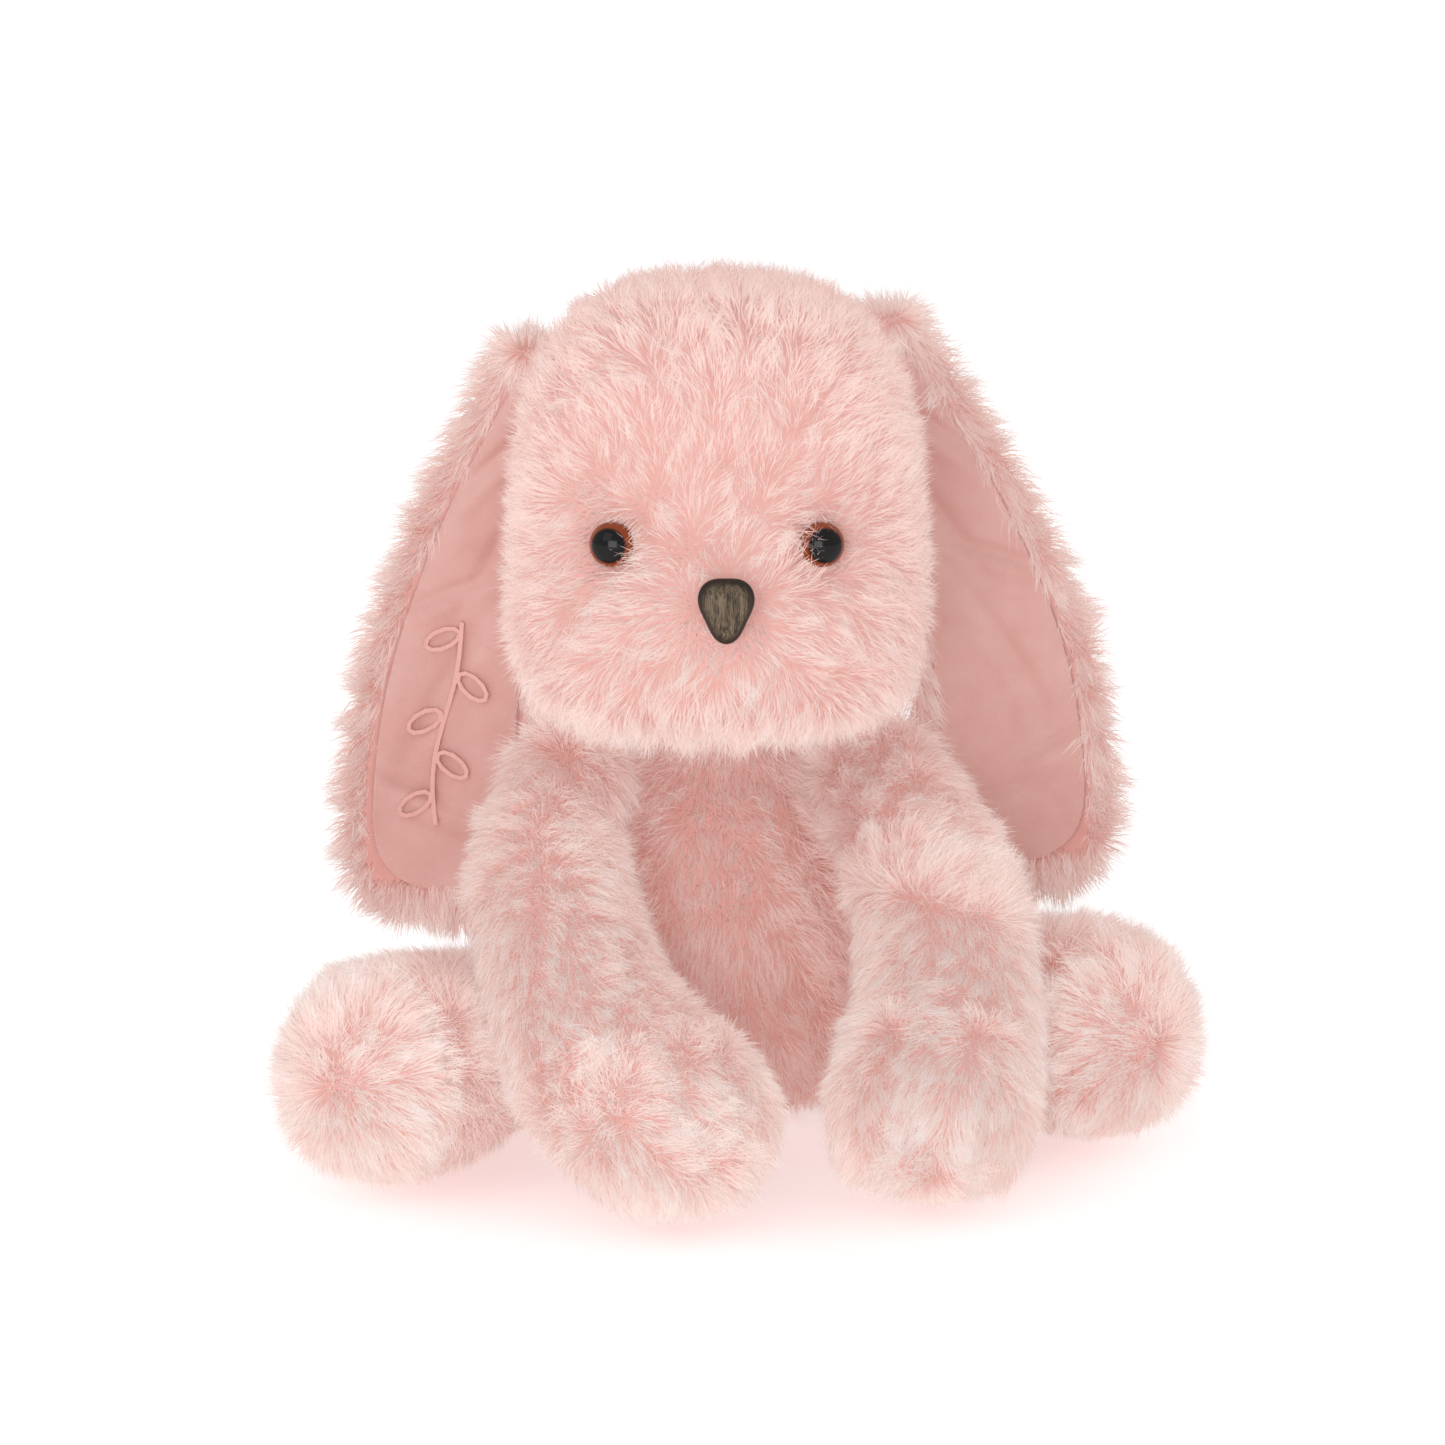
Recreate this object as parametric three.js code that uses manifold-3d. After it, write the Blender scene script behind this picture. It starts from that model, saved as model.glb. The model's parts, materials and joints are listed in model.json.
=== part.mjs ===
// A seated lop-eared bunny, stuffed, in long-pile fabric: every body is a sewn skin over its own filling.
// Millimetres, +Z up. The origin is the middle of the flat seat, and the face looks along -Y.
// The bunny's own right side is at -X.
import * as THREE from "three";
import { mergeVertices } from "three/addons/utils/BufferGeometryUtils.js";
import Module from "manifold-3d";

const wasm = await Module();
wasm.setup();

// ---------------------------------------------------------------- fabric and clearances
const SKIN = 9; // backing cloth and pile together
const GAP = 0.35; // between pieces that touch
const SWING_GAP = 0.7; // between pieces that move past each other

// ---------------------------------------------------------------- torso
const TORSO_HEIGHT = 117;
const TORSO_HALF_WIDTH = 53;
const TORSO_DEPTH_RATIO = 0.94;
const TORSO_CENTRE_Y = 30;
const SEAT_HALF_WIDTH = 38;
const POUCH_RADIUS = 36;
const POUCH_HEIGHT = 22;
const TAIL_RADIUS = 19;
const TAIL_HEIGHT = 34;

// ---------------------------------------------------------------- head
const HEAD_HALF_WIDTH = 62;
const HEAD_HEIGHT = 127;
const HEAD_DEPTH_RATIO = 0.92;
const HEAD_CENTRE = [-1.5, -3];
const HEAD_BOXINESS = 2.45; // 2 is round, more is squarer
const CHIN_CLEARANCE = 9; // torso top to the underside of the head
const NECK_RADIUS = 25;
const NECK_Y = 20;
const MUZZLE = { reach: 13, halfWidth: 34, halfHeight: 29, height: 34 };

// ---------------------------------------------------------------- face
const EYE_RADIUS = 6.2;
const EYE_DOME = 5;
const EYE_SPREAD = 30;
const EYE_HEIGHT = 56.5; // above the underside of the head
const EYE_DEPTH = 6; // from the pile's surface down to the back of the lens
const EYE_TURN = 0.26; // how far each eye looks outwards, against straight ahead
const POST_RADIUS = 1.8;
const POST_LENGTH = 15.5;
const WASHER_RADIUS = 7.5;
const WASHER_THICKNESS = 1.6;
const WASHER_SETTLE = 4.2; // the washer lies square to the post, so it stands off the curved backing cloth
const NOSE_HALF_WIDTH = 7.6;
const NOSE_HALF_HEIGHT = 8.6;
const NOSE_DEPTH = 7;
const NOSE_HEIGHT = 43;
const NOSE_CLOTH = 1.1;

// ---------------------------------------------------------------- limbs
const ARM_ROOT_RADIUS = 21.5;
const PAW_RADIUS = 31.5;
const ARM_FULLNESS = 0.95; // under 1 the limb thickens early, over 1 late
const LIFT_RANGE = [0, 24];
const LEG_ROOT_RADIUS = 26;
const FOOT_RADIUS = 35;
const LEG_FULLNESS = 1.55;
const SOLE_SQUASH = 1; // how much a paw or foot is flattened where it rests
const SHOULDER_DROP = 16; // below the top of the torso
const HIP_HEIGHT = 27;
const ARM_OVER_LEG = 69; // the least height of a shoulder above a hip at which the arms pass over the legs
// Each limb starts on the torso at an angle about its axis (0 is the bunny's left, -90 its front), a distance
// outside the torso's surface. Its middle line then steps across, forward, and down by a share of the way
// from its root to the middle of the paw or foot that rests on the ground.
const ARMS = {
  right: { angle: 214, out: 17, steps: [[-5, -19, 0.2], [0, -46, 0.49], [13, -75, 0.8], [32, -95, 1]] },
  left: { angle: -17, out: 10, steps: [[11, -26, 0.2], [17, -51, 0.48], [17, -75, 0.78], [12, -97, 1]] },
};
const LEGS = {
  right: { angle: 205, out: -11, steps: [[-32, -26, 0.33], [-53, -70, 1]], range: [0, 30] },
  left: { angle: 12, out: -11, steps: [[34, -19, 0.33], [63, -53, 1]], range: [0, 16] },
};

// ---------------------------------------------------------------- ears
const EAR_HALF_WIDTH = 31;
const EAR_GATHER = 0.32; // share of the half width at the root
const EAR_BROAD_AT = 0.85; // share of the length at which the ear is broadest
const EAR_ROUND_AT = 0.84; // share of the length at which its end starts to round
const EAR_PILE = 8; // thickness of the back panel
const LINING_CLOTH = 1.6;
const LINING_INSET = 10; // from the fur's edge to the lining's seam
const EAR_CUP = 7; // how far the long edges stand forward of the middle
const EAR_ROOT_RADIUS = 10;
const EAR_SINK = 3; // from the head's side surface in to the ear's root
const EAR_ROOT_Y = 20;
const EAR_BACK = 51; // how far back the lower half hangs
// The root's height is above the underside of the head, and the tip's is above the ground; the drape is from
// the head's side out to the ear's middle.
const EARS = {
  right: { sign: -1, height: 97, tip: 51, drape: 25 },
  left: { sign: 1, height: 106, tip: 60, drape: 30 },
};
const EAR_RANGE = [0, 105];
const STITCH = 0.9; // thread standing on the lining
const MOTIF = { start: 0.52, length: 62, leaves: 5, leaf: 7.5, line: 1.3 };

// ---------------------------------------------------------------- finishes
const finish = (color, roughness) => new THREE.MeshStandardMaterial({ color, roughness, metalness: 0 });
const FUR = finish(0xf6d3c9, 0.95);
const FILLING = finish(0xf4f1ea, 1);
const BEANS = finish(0xe4ddcf, 0.8);
const VELVET = finish(0xe2a9a0, 0.8);
const THREAD = finish(0xfaf3ec, 0.5);
const SATIN = finish(0x7d7260, 0.45);
const LENS = finish(0x120c0a, 0.08);
const IRIS = finish(0x8a3d16, 0.3);
const NYLON = finish(0xece8df, 0.5);

const rad = THREE.MathUtils.degToRad;
const vec = (x, y, z) => new THREE.Vector3(x, y, z);

// ---------------------------------------------------------------- solids
// A closed three.js geometry as a solid that can be joined and cut.
function solid(geometry) {
  const bare = geometry.clone();
  bare.deleteAttribute("normal");
  bare.deleteAttribute("uv");
  const merged = mergeVertices(bare, 1e-3);
  const vertProperties = new Float32Array(merged.attributes.position.array);
  const triVerts = new Uint32Array(merged.index.array);
  const made = new wasm.Manifold(new wasm.Mesh({ numProp: 3, vertProperties, triVerts }));
  if (made.volume() > 0) return made;
  triVerts.reverse(); // the points were placed in mirror image, so every face is turned round
  return new wasm.Manifold(new wasm.Mesh({ numProp: 3, vertProperties, triVerts }));
}

function named(name, body, material) {
  const found = body.getMesh();
  const points = new Float32Array(found.numVert * 3);
  for (let i = 0; i < found.numVert; i++) {
    const from = i * found.numProp;
    points.set(found.vertProperties.subarray(from, from + 3), i * 3);
  }
  const geometry = new THREE.BufferGeometry();
  geometry.setAttribute("position", new THREE.BufferAttribute(points, 3));
  geometry.setIndex(new THREE.BufferAttribute(new Uint32Array(found.triVerts), 1));
  geometry.computeVertexNormals();
  const mesh = new THREE.Mesh(geometry, material);
  mesh.name = name;
  return mesh;
}

function ball(centre, radius, sides = 16) {
  const geometry = new THREE.SphereGeometry(radius, sides, Math.round(sides / 2));
  geometry.translate(centre.x, centre.y, centre.z);
  return solid(geometry);
}

// A body turned about an axis that starts at a point and runs along a direction.
function turned(profile, start, direction, sides = 14) {
  const geometry = new THREE.LatheGeometry(profile.map(([r, h]) => new THREE.Vector2(r, h)), sides);
  geometry.applyQuaternion(new THREE.Quaternion().setFromUnitVectors(vec(0, 1, 0), direction));
  geometry.translate(start.x, start.y, start.z);
  return solid(geometry);
}

// A sphere's grid with every point put elsewhere: t runs 0 to 1 from one pole to the other, angle goes round.
function reshaped(sides, rows, place) {
  const geometry = new THREE.SphereGeometry(1, sides, rows);
  const at = geometry.attributes.position;
  const uv = geometry.attributes.uv;
  for (let i = 0; i < at.count; i++) {
    const t = 1 - uv.getY(i);
    const pole = t < 1e-6 || t > 1 - 1e-6;
    const angle = pole ? 0 : 2 * Math.PI * (uv.getX(i) % 1);
    const p = place(pole ? Math.round(t) : t, angle);
    at.setXYZ(i, p.x, p.y, p.z);
  }
  return solid(geometry);
}

const power = (value, exponent) => Math.sign(value) * Math.abs(value) ** exponent;

function turnAbout(body, pivot, axis, degrees) {
  const matrix = new THREE.Matrix4().makeTranslation(pivot.x, pivot.y, pivot.z);
  matrix.multiply(new THREE.Matrix4().makeRotationAxis(axis, rad(degrees)));
  matrix.multiply(new THREE.Matrix4().makeTranslation(-pivot.x, -pivot.y, -pivot.z));
  return body.transform(matrix.elements);
}

// The space a body sweeps as it turns through its range, in steps of a few degrees.
function swept(body, pivot, axis, [low, high], step = 8) {
  const count = Math.ceil((high - low) / step);
  let whole = turnAbout(body, pivot, axis, low);
  for (let i = 1; i <= count; i++) {
    whole = whole.add(turnAbout(body, pivot, axis, low + ((high - low) * i) / count));
  }
  return whole;
}

// ---------------------------------------------------------------- egg shaped bodies
// Half widths up a body, as a smooth curve through [half width, height] shares of its own size.
function profileOf(shares, halfWidth, height) {
  return new THREE.SplineCurve(shares.map(([w, h]) => new THREE.Vector2(w * halfWidth, h * height)));
}

// The body, or the same body moved in by a depth along its outline, and the half width at any height.
function eggBody({ profile, base, centre, depthRatio, boxiness, sides, rows, bulge }) {
  const build = (inset) => reshaped(inset ? 16 : sides, inset ? 10 : rows, (t, angle) => {
    const p = profile.getPoint(t);
    const tangent = profile.getTangent(t);
    const wall = t === 0 || t === 1 ? 0 : Math.max(p.x - inset * tangent.y, 0.2);
    let z = base + p.y + inset * (t === 0 ? 1 : t === 1 ? -1 : tangent.x);
    z = Math.min(Math.max(z, base + inset), base + profile.getPoint(1).y - inset);
    const x = wall * power(Math.cos(angle), 2 / boxiness);
    const y = wall * depthRatio * power(Math.sin(angle), 2 / boxiness);
    return vec(centre[0] + x, centre[1] + y - bulge(x, y, z), z);
  });
  const halfWidthAt = (z) => {
    let low = 0.02;
    let high = 0.98;
    for (let i = 0; i < 30; i++) {
      const middle = (low + high) / 2;
      if (base + profile.getPoint(middle).y < z) low = middle;
      else high = middle;
    }
    return profile.getPoint(low).x;
  };
  return { build, halfWidthAt };
}

const TORSO = eggBody({
  profile: profileOf(
    [[0, 0], [SEAT_HALF_WIDTH / TORSO_HALF_WIDTH, 0], [0.94, 0.09], [1, 0.27], [0.95, 0.47], [0.84, 0.68],
      [0.7, 0.86], [0.42, 0.97], [0, 1]],
    TORSO_HALF_WIDTH, TORSO_HEIGHT,
  ),
  base: 0,
  centre: [0, TORSO_CENTRE_Y],
  depthRatio: TORSO_DEPTH_RATIO,
  boxiness: 2,
  sides: 22,
  rows: 14,
  bulge: () => 0,
});

const HEAD_BASE = TORSO_HEIGHT + CHIN_CLEARANCE;
const HEAD = eggBody({
  profile: profileOf(
    [[0, 0], [0.5, 0.004], [0.8, 0.03], [0.96, 0.1], [1, 0.24], [0.98, 0.42], [0.945, 0.62], [0.86, 0.79],
      [0.62, 0.93], [0.32, 0.985], [0, 1]],
    HEAD_HALF_WIDTH, HEAD_HEIGHT,
  ),
  base: HEAD_BASE,
  centre: HEAD_CENTRE,
  depthRatio: HEAD_DEPTH_RATIO,
  boxiness: HEAD_BOXINESS,
  sides: 26,
  rows: 18,
  bulge: muzzleBulge,
});

function muzzleBulge(x, y, z) {
  if (y >= 0) return 0;
  const across = x / MUZZLE.halfWidth;
  const up = (z - HEAD_BASE - MUZZLE.height) / MUZZLE.halfHeight;
  const forward = Math.min(1, -y / (0.6 * HEAD_HALF_WIDTH));
  return MUZZLE.reach * forward * Math.exp(-across * across - up * up);
}

// A point on the front of the head, at a distance across and a height above the head's underside.
function onFace(across, height) {
  const z = HEAD_BASE + height;
  const halfWidth = HEAD.halfWidthAt(z);
  const share = 1 - (Math.abs(across) / halfWidth) ** HEAD_BOXINESS;
  const y = -halfWidth * HEAD_DEPTH_RATIO * share ** (1 / HEAD_BOXINESS);
  return vec(HEAD_CENTRE[0] + across, HEAD_CENTRE[1] + y - muzzleBulge(across, y, z), z);
}

// A point at a height on the torso, in a direction, moved out from its surface.
function onTorso(angle, height, out) {
  const reach = TORSO.halfWidthAt(height) + out;
  const x = reach * Math.cos(rad(angle));
  const y = reach * TORSO_DEPTH_RATIO * Math.sin(rad(angle));
  return vec(x, TORSO_CENTRE_Y + y, height);
}

// ---------------------------------------------------------------- limbs
// The room that a limb needs as it moves is cut with a coarse copy, made large enough to hold the limb.
const COARSE = 8;
const coarse = (radius) => radius / Math.cos(Math.PI / COARSE);

// A round body along a curve, with its start flat and its end a half ball; inset makes the filling's space.
function along(curve, radiusAt, endRadius, inset, sides = 16, rows = 12) {
  const length = curve.getLength();
  const reach = length + endRadius - inset;
  return reshaped(sides, rows, (t, angle) => {
    const s = t * reach;
    const past = Math.max(0, s - length);
    const u = Math.min(1, s / length);
    const centre = curve.getPointAt(u);
    const forward = curve.getTangentAt(u);
    const side = vec(0, 0, 1).cross(forward).normalize();
    const up = forward.clone().cross(side).normalize();
    const full = Math.max(radiusAt(u) - inset, 0.5);
    const cap = Math.sqrt(Math.max(0, 1 - (past / (endRadius - inset)) ** 2));
    const r = t === 0 || t === 1 ? 0 : full * cap;
    return centre.addScaledVector(forward, past)
      .addScaledVector(side, r * Math.cos(angle)).addScaledVector(up, r * Math.sin(angle));
  });
}

function limb(root, steps, rootRadius, endRadius, fullness) {
  const restHeight = endRadius - SOLE_SQUASH;
  const points = steps.map(([x, y, share]) => vec(root.x + x, root.y + y, root.z + (restHeight - root.z) * share));
  const curve = new THREE.CatmullRomCurve3([root.clone(), ...points]);
  const radiusAt = (u) => rootRadius + (endRadius - rootRadius) * u ** fullness;
  const inward = curve.getTangentAt(0).negate();
  const seat = Math.sqrt(rootRadius ** 2 - (rootRadius * 0.5) ** 2) - GAP;
  const sleeve = (radius, from, to) => turned([[0, from], [radius, from], [radius, to], [0, to]], root, inward);
  const outer = along(curve, radiusAt, endRadius, 0).add(ball(root, rootRadius));
  const inner = (inset) => along(curve, radiusAt, endRadius, inset, 10, 8).add(ball(root, rootRadius - inset, 10));
  const swingRadius = (u) => coarse(radiusAt(u) + 2 * SWING_GAP);
  return {
    root,
    socket: ball(root, rootRadius + 2 * SWING_GAP),
    shadow: along(curve, swingRadius, coarse(endRadius + 2 * SWING_GAP), 0, COARSE, 12),
    print: along(curve, (u) => radiusAt(u) + GAP, endRadius + GAP, 0),
    skin: aboveFloor(outer).subtract(inner(SKIN)).subtract(sleeve(rootRadius * 0.5, 0, 2 * rootRadius)),
    filling: aboveFloor(inner(SKIN + GAP), SKIN).add(sleeve(rootRadius * 0.5 - GAP, 0, seat)),
  };
}

function aboveFloor(body, height = 0) {
  const size = 600;
  const block = new THREE.BoxGeometry(size, size, size);
  block.translate(0, 0, height + size / 2);
  return body.intersect(solid(block));
}

const arms = {};
const legs = {};
for (const side of ["right", "left"]) {
  const arm = ARMS[side];
  const leg = LEGS[side];
  const shoulder = onTorso(arm.angle, TORSO_HEIGHT - SHOULDER_DROP, arm.out);
  const hip = onTorso(leg.angle, HIP_HEIGHT, leg.out);
  const spread = Math.sign(hip.x) * Math.max(0, ARM_OVER_LEG - (shoulder.z - hip.z));
  const legSteps = leg.steps.map(([x, y, share]) => [x + spread, y + Math.abs(spread), share]);
  arms[side] = limb(shoulder, arm.steps, ARM_ROOT_RADIUS, PAW_RADIUS, ARM_FULLNESS);
  legs[side] = limb(hip, legSteps, LEG_ROOT_RADIUS, FOOT_RADIUS, LEG_FULLNESS);
  legs[side].skin = legs[side].skin.subtract(arms[side].print);
  legs[side].filling = legs[side].filling.subtract(arms[side].print);
}
const LIFT_AXIS = vec(-1, 0, 0);
const SPLAY_AXIS = { right: vec(0, 0, -1), left: vec(0, 0, 1) };

// ---------------------------------------------------------------- ears
// A long panel hung from the head: place(along, across, off) is a point at a share of its length, a distance
// across it and a distance in front of its middle surface.
function earFrame({ sign, height, tip, drape }) {
  const rootZ = HEAD_BASE + height;
  const fall = rootZ - tip;
  const out = HEAD_HALF_WIDTH + drape;
  const headHalf = HEAD.halfWidthAt(rootZ);
  const root = vec(HEAD_CENTRE[0] + sign * (headHalf - EAR_SINK), EAR_ROOT_Y, rootZ);
  const across = (share) => THREE.MathUtils.lerp(root.x, sign * out, share);
  const middle = [
    root.clone(),
    vec(across(0.04), (EAR_ROOT_Y + EAR_BACK) / 2 + 1, rootZ - 6),
    vec(across(0.24), EAR_BACK - 4, rootZ - 0.17 * fall),
    vec(across(0.55), EAR_BACK, rootZ - 0.36 * fall),
    vec(across(0.87), EAR_BACK, rootZ - 0.64 * fall),
    vec(across(1), EAR_BACK, tip),
  ];
  const curve = new THREE.CatmullRomCurve3(middle);
  const place = (share, across, off) => {
    const u = Math.min(Math.max(share, 0), 1);
    const down = curve.getTangentAt(u);
    const sideways = down.clone().cross(vec(0, 1, 0)).normalize();
    const front = sideways.clone().cross(down).normalize();
    const cup = EAR_CUP * Math.min(1, share * 2) * (across / EAR_HALF_WIDTH) ** 2;
    return curve.getPointAt(u).addScaledVector(sideways, across).addScaledVector(front, -(off + cup));
  };
  return { root, place, length: curve.getLength() };
}

// Half width at a share of the ear's length: gathered at the root, broad below, with a round end.
function earHalfWidth(share, inset) {
  const broad = EAR_GATHER + (1 - EAR_GATHER) * Math.sin(Math.min(1, share / EAR_BROAD_AT) * (Math.PI / 2));
  const past = Math.max(0, (share - EAR_ROUND_AT) / (1 - EAR_ROUND_AT));
  return Math.max(EAR_HALF_WIDTH * broad - inset, 2) * Math.max(0, 1 - past ** 2.6) ** (1 / 2.6);
}

function panel(frame, from, to, inset, low, high, rows, sides = 12) {
  return reshaped(sides, rows, (t, angle) => {
    const share = from + (to - from) * (1 - Math.cos(Math.PI * t)) / 2;
    const own = (share - from) / (to - from);
    const ends = Math.sqrt(Math.max(0, 1 - Math.abs(2 * own - 1) ** 10));
    const half = t === 0 || t === 1 ? 0 : earHalfWidth(from + (1 - from) * own, inset) * ends;
    const thick = t === 0 || t === 1 ? 0 : ((high - low) / 2) * power(Math.sin(angle), 0.6) * ends;
    return frame.place(share, half * Math.cos(angle), (low + high) / 2 + thick);
  });
}

// A sprig of outlined leaves on a wavy stem, as flat thread work laid on the lining.
function sprig(frame) {
  const low = LINING_CLOTH + 3 * GAP;
  const flat = (shape) => {
    const geometry = new THREE.ExtrudeGeometry(shape, { depth: STITCH, bevelEnabled: false, curveSegments: 5 });
    const at = geometry.attributes.position;
    for (let i = 0; i < at.count; i++) {
      const share = MOTIF.start + at.getY(i) / frame.length;
      const p = frame.place(share, at.getX(i), low + at.getZ(i));
      at.setXYZ(i, p.x, p.y, p.z);
    }
    return solid(geometry);
  };
  const count = 12;
  const wave = (s) => 1.6 * Math.sin((s / MOTIF.length) * 2 * Math.PI);
  const stem = new THREE.Shape();
  for (let i = 0; i <= count; i++) {
    const s = (MOTIF.length * i) / count;
    if (i === 0) stem.moveTo(wave(s) - MOTIF.line / 2, s);
    else stem.lineTo(wave(s) - MOTIF.line / 2, s);
  }
  for (let i = count; i >= 0; i--) {
    const s = (MOTIF.length * i) / count;
    stem.lineTo(wave(s) + MOTIF.line / 2, s);
  }
  let whole = flat(stem);
  for (let i = 0; i < MOTIF.leaves; i++) {
    const side = i % 2 ? 1 : -1;
    const s = (MOTIF.length * (i + 0.5)) / MOTIF.leaves;
    const x = wave(s) + side * (MOTIF.leaf * 0.72);
    const leaf = new THREE.Shape();
    leaf.absellipse(x, s, MOTIF.leaf * 0.8, MOTIF.leaf * 0.45, 0, 2 * Math.PI, false, side * 0.6);
    const hole = new THREE.Path();
    hole.absellipse(x, s, MOTIF.leaf * 0.8 - MOTIF.line, MOTIF.leaf * 0.45 - MOTIF.line, 0, 2 * Math.PI, true,
      side * 0.6);
    leaf.holes.push(hole);
    whole = whole.add(flat(leaf));
  }
  return whole;
}

const ears = {};
for (const side of ["right", "left"]) {
  const frame = earFrame(EARS[side]);
  const room = 4 * SWING_GAP;
  ears[side] = {
    frame,
    fur: panel(frame, 0, 1, 0, -EAR_PILE, 0, 18).add(ball(frame.root, EAR_ROOT_RADIUS, 14)),
    socket: ball(frame.root, EAR_ROOT_RADIUS + 2 * SWING_GAP, 14),
    shadow: panel(frame, 0, 1, -room, -EAR_PILE - room, room, 10, COARSE),
    rest: panel(frame, 0, 1, -SWING_GAP, -EAR_PILE - SWING_GAP, SWING_GAP, 18),
    lining: panel(frame, 0.13, 0.955, LINING_INSET, 2 * GAP, 2 * GAP + LINING_CLOTH, 18),
    axis: vec(0, -EARS[side].sign, 0),
  };
}

// ---------------------------------------------------------------- eyes and nose
function eye(sign) {
  const surface = onFace(sign * EYE_SPREAD, EYE_HEIGHT);
  const look = vec(sign * EYE_TURN, -1, 0.06).normalize();
  const seat = surface.clone().addScaledVector(look, -EYE_DEPTH);
  const dome = new THREE.EllipseCurve(0, GAP, EYE_RADIUS, EYE_DOME, 0, Math.PI / 2).getPoints(5)
    .map((p) => [p.x < 1e-6 ? 0 : p.x, p.y]);
  const disc = 1.2;
  const washerTop = -(SKIN - EYE_DEPTH) - WASHER_SETTLE;
  const post = [[0, -POST_LENGTH], [POST_RADIUS, -POST_LENGTH], [POST_RADIUS, -disc], [EYE_RADIUS, -disc],
    [EYE_RADIUS, 0], [0, 0]];
  const bore = POST_RADIUS + GAP;
  const washer = [[bore, washerTop - WASHER_THICKNESS], [WASHER_RADIUS, washerTop - WASHER_THICKNESS],
    [WASHER_RADIUS, washerTop], [bore, washerTop], [bore, washerTop - WASHER_THICKNESS]];
  const pocket = EYE_RADIUS + GAP;
  const floor = -disc - GAP;
  const room = WASHER_RADIUS + GAP;
  const under = washerTop - WASHER_THICKNESS - GAP;
  return {
    lens: turned([[0, GAP], ...dome], seat, look, 20),
    post: turned(post, seat, look),
    washer: turned(washer, seat, look),
    skinCut: turned([[0, -20], [bore, -20], [bore, floor], [pocket, floor], [pocket + 4, 14], [0, 14]], seat, look),
    fillingCut: turned(
      [[0, -POST_LENGTH - GAP], [bore, -POST_LENGTH - GAP], [bore, under], [room, under], [room, 14], [0, 14]],
      seat, look,
    ),
  };
}

// The nose is a padded triangle with round corners, its point down, set into the pile of the muzzle.
function noseBody(grow, back) {
  const front = onFace(-HEAD_CENTRE[0] + 1, NOSE_HEIGHT);
  const lift = 1.5;
  return reshaped(18, 10, (t, angle) => {
    const ring = Math.sin(Math.PI * t);
    const corner = 1 + 0.13 * Math.cos(3 * (angle + Math.PI / 2));
    const x = (NOSE_HALF_WIDTH + grow) * ring * corner * Math.cos(angle);
    const z = (NOSE_HALF_HEIGHT + grow) * ring * corner * Math.sin(angle);
    const depth = t < 0.5 ? NOSE_DEPTH * 0.45 + grow : NOSE_DEPTH * 0.55 + grow + back;
    return vec(front.x + x, front.y - lift + NOSE_DEPTH * 0.45 - depth * Math.cos(Math.PI * t), front.z + z);
  });
}

const eyes = { right: eye(-1), left: eye(1) };

// ---------------------------------------------------------------- head
const neck = vec(0, NECK_Y, HEAD_BASE + 3);

function buildHead() {
  let skin = HEAD.build(0).subtract(HEAD.build(SKIN));
  let filling = HEAD.build(SKIN + GAP);
  const socket = ball(neck, NECK_RADIUS + 2 * SWING_GAP, 20);
  skin = skin.subtract(socket);
  filling = filling.subtract(socket);
  for (const side of ["right", "left"]) {
    const ear = ears[side];
    const path = swept(ear.shadow, ear.frame.root, ear.axis, EAR_RANGE, 12).add(ear.socket).add(ear.rest);
    skin = skin.subtract(path).subtract(eyes[side].skinCut);
    filling = filling.subtract(path).subtract(eyes[side].fillingCut);
  }
  const nose = noseBody(GAP, 0);
  return [
    named("head_skin", skin.subtract(nose), FUR),
    named("head_filling", filling.subtract(nose), FILLING),
    named("nose_cover", noseBody(0, 0).subtract(noseBody(-NOSE_CLOTH, 3 * NOSE_CLOTH)), SATIN),
    named("nose_filling", noseBody(-NOSE_CLOTH - GAP, 0), FILLING),
  ];
}

function buildEyes() {
  return ["right", "left"].flatMap((side) => [
    named("eye_lens_" + side, eyes[side].lens, LENS),
    named("eye_post_" + side, eyes[side].post, IRIS),
    named("eye_washer_" + side, eyes[side].washer, NYLON),
  ]);
}

function buildEars() {
  return [
    ...["right", "left"].flatMap((side) => [
      named("ear_fur_" + side, ears[side].fur, FUR),
      named("ear_lining_" + side, ears[side].lining, VELVET),
    ]),
    named("ear_motif_right", sprig(ears.right.frame), THREAD),
  ];
}

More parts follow.
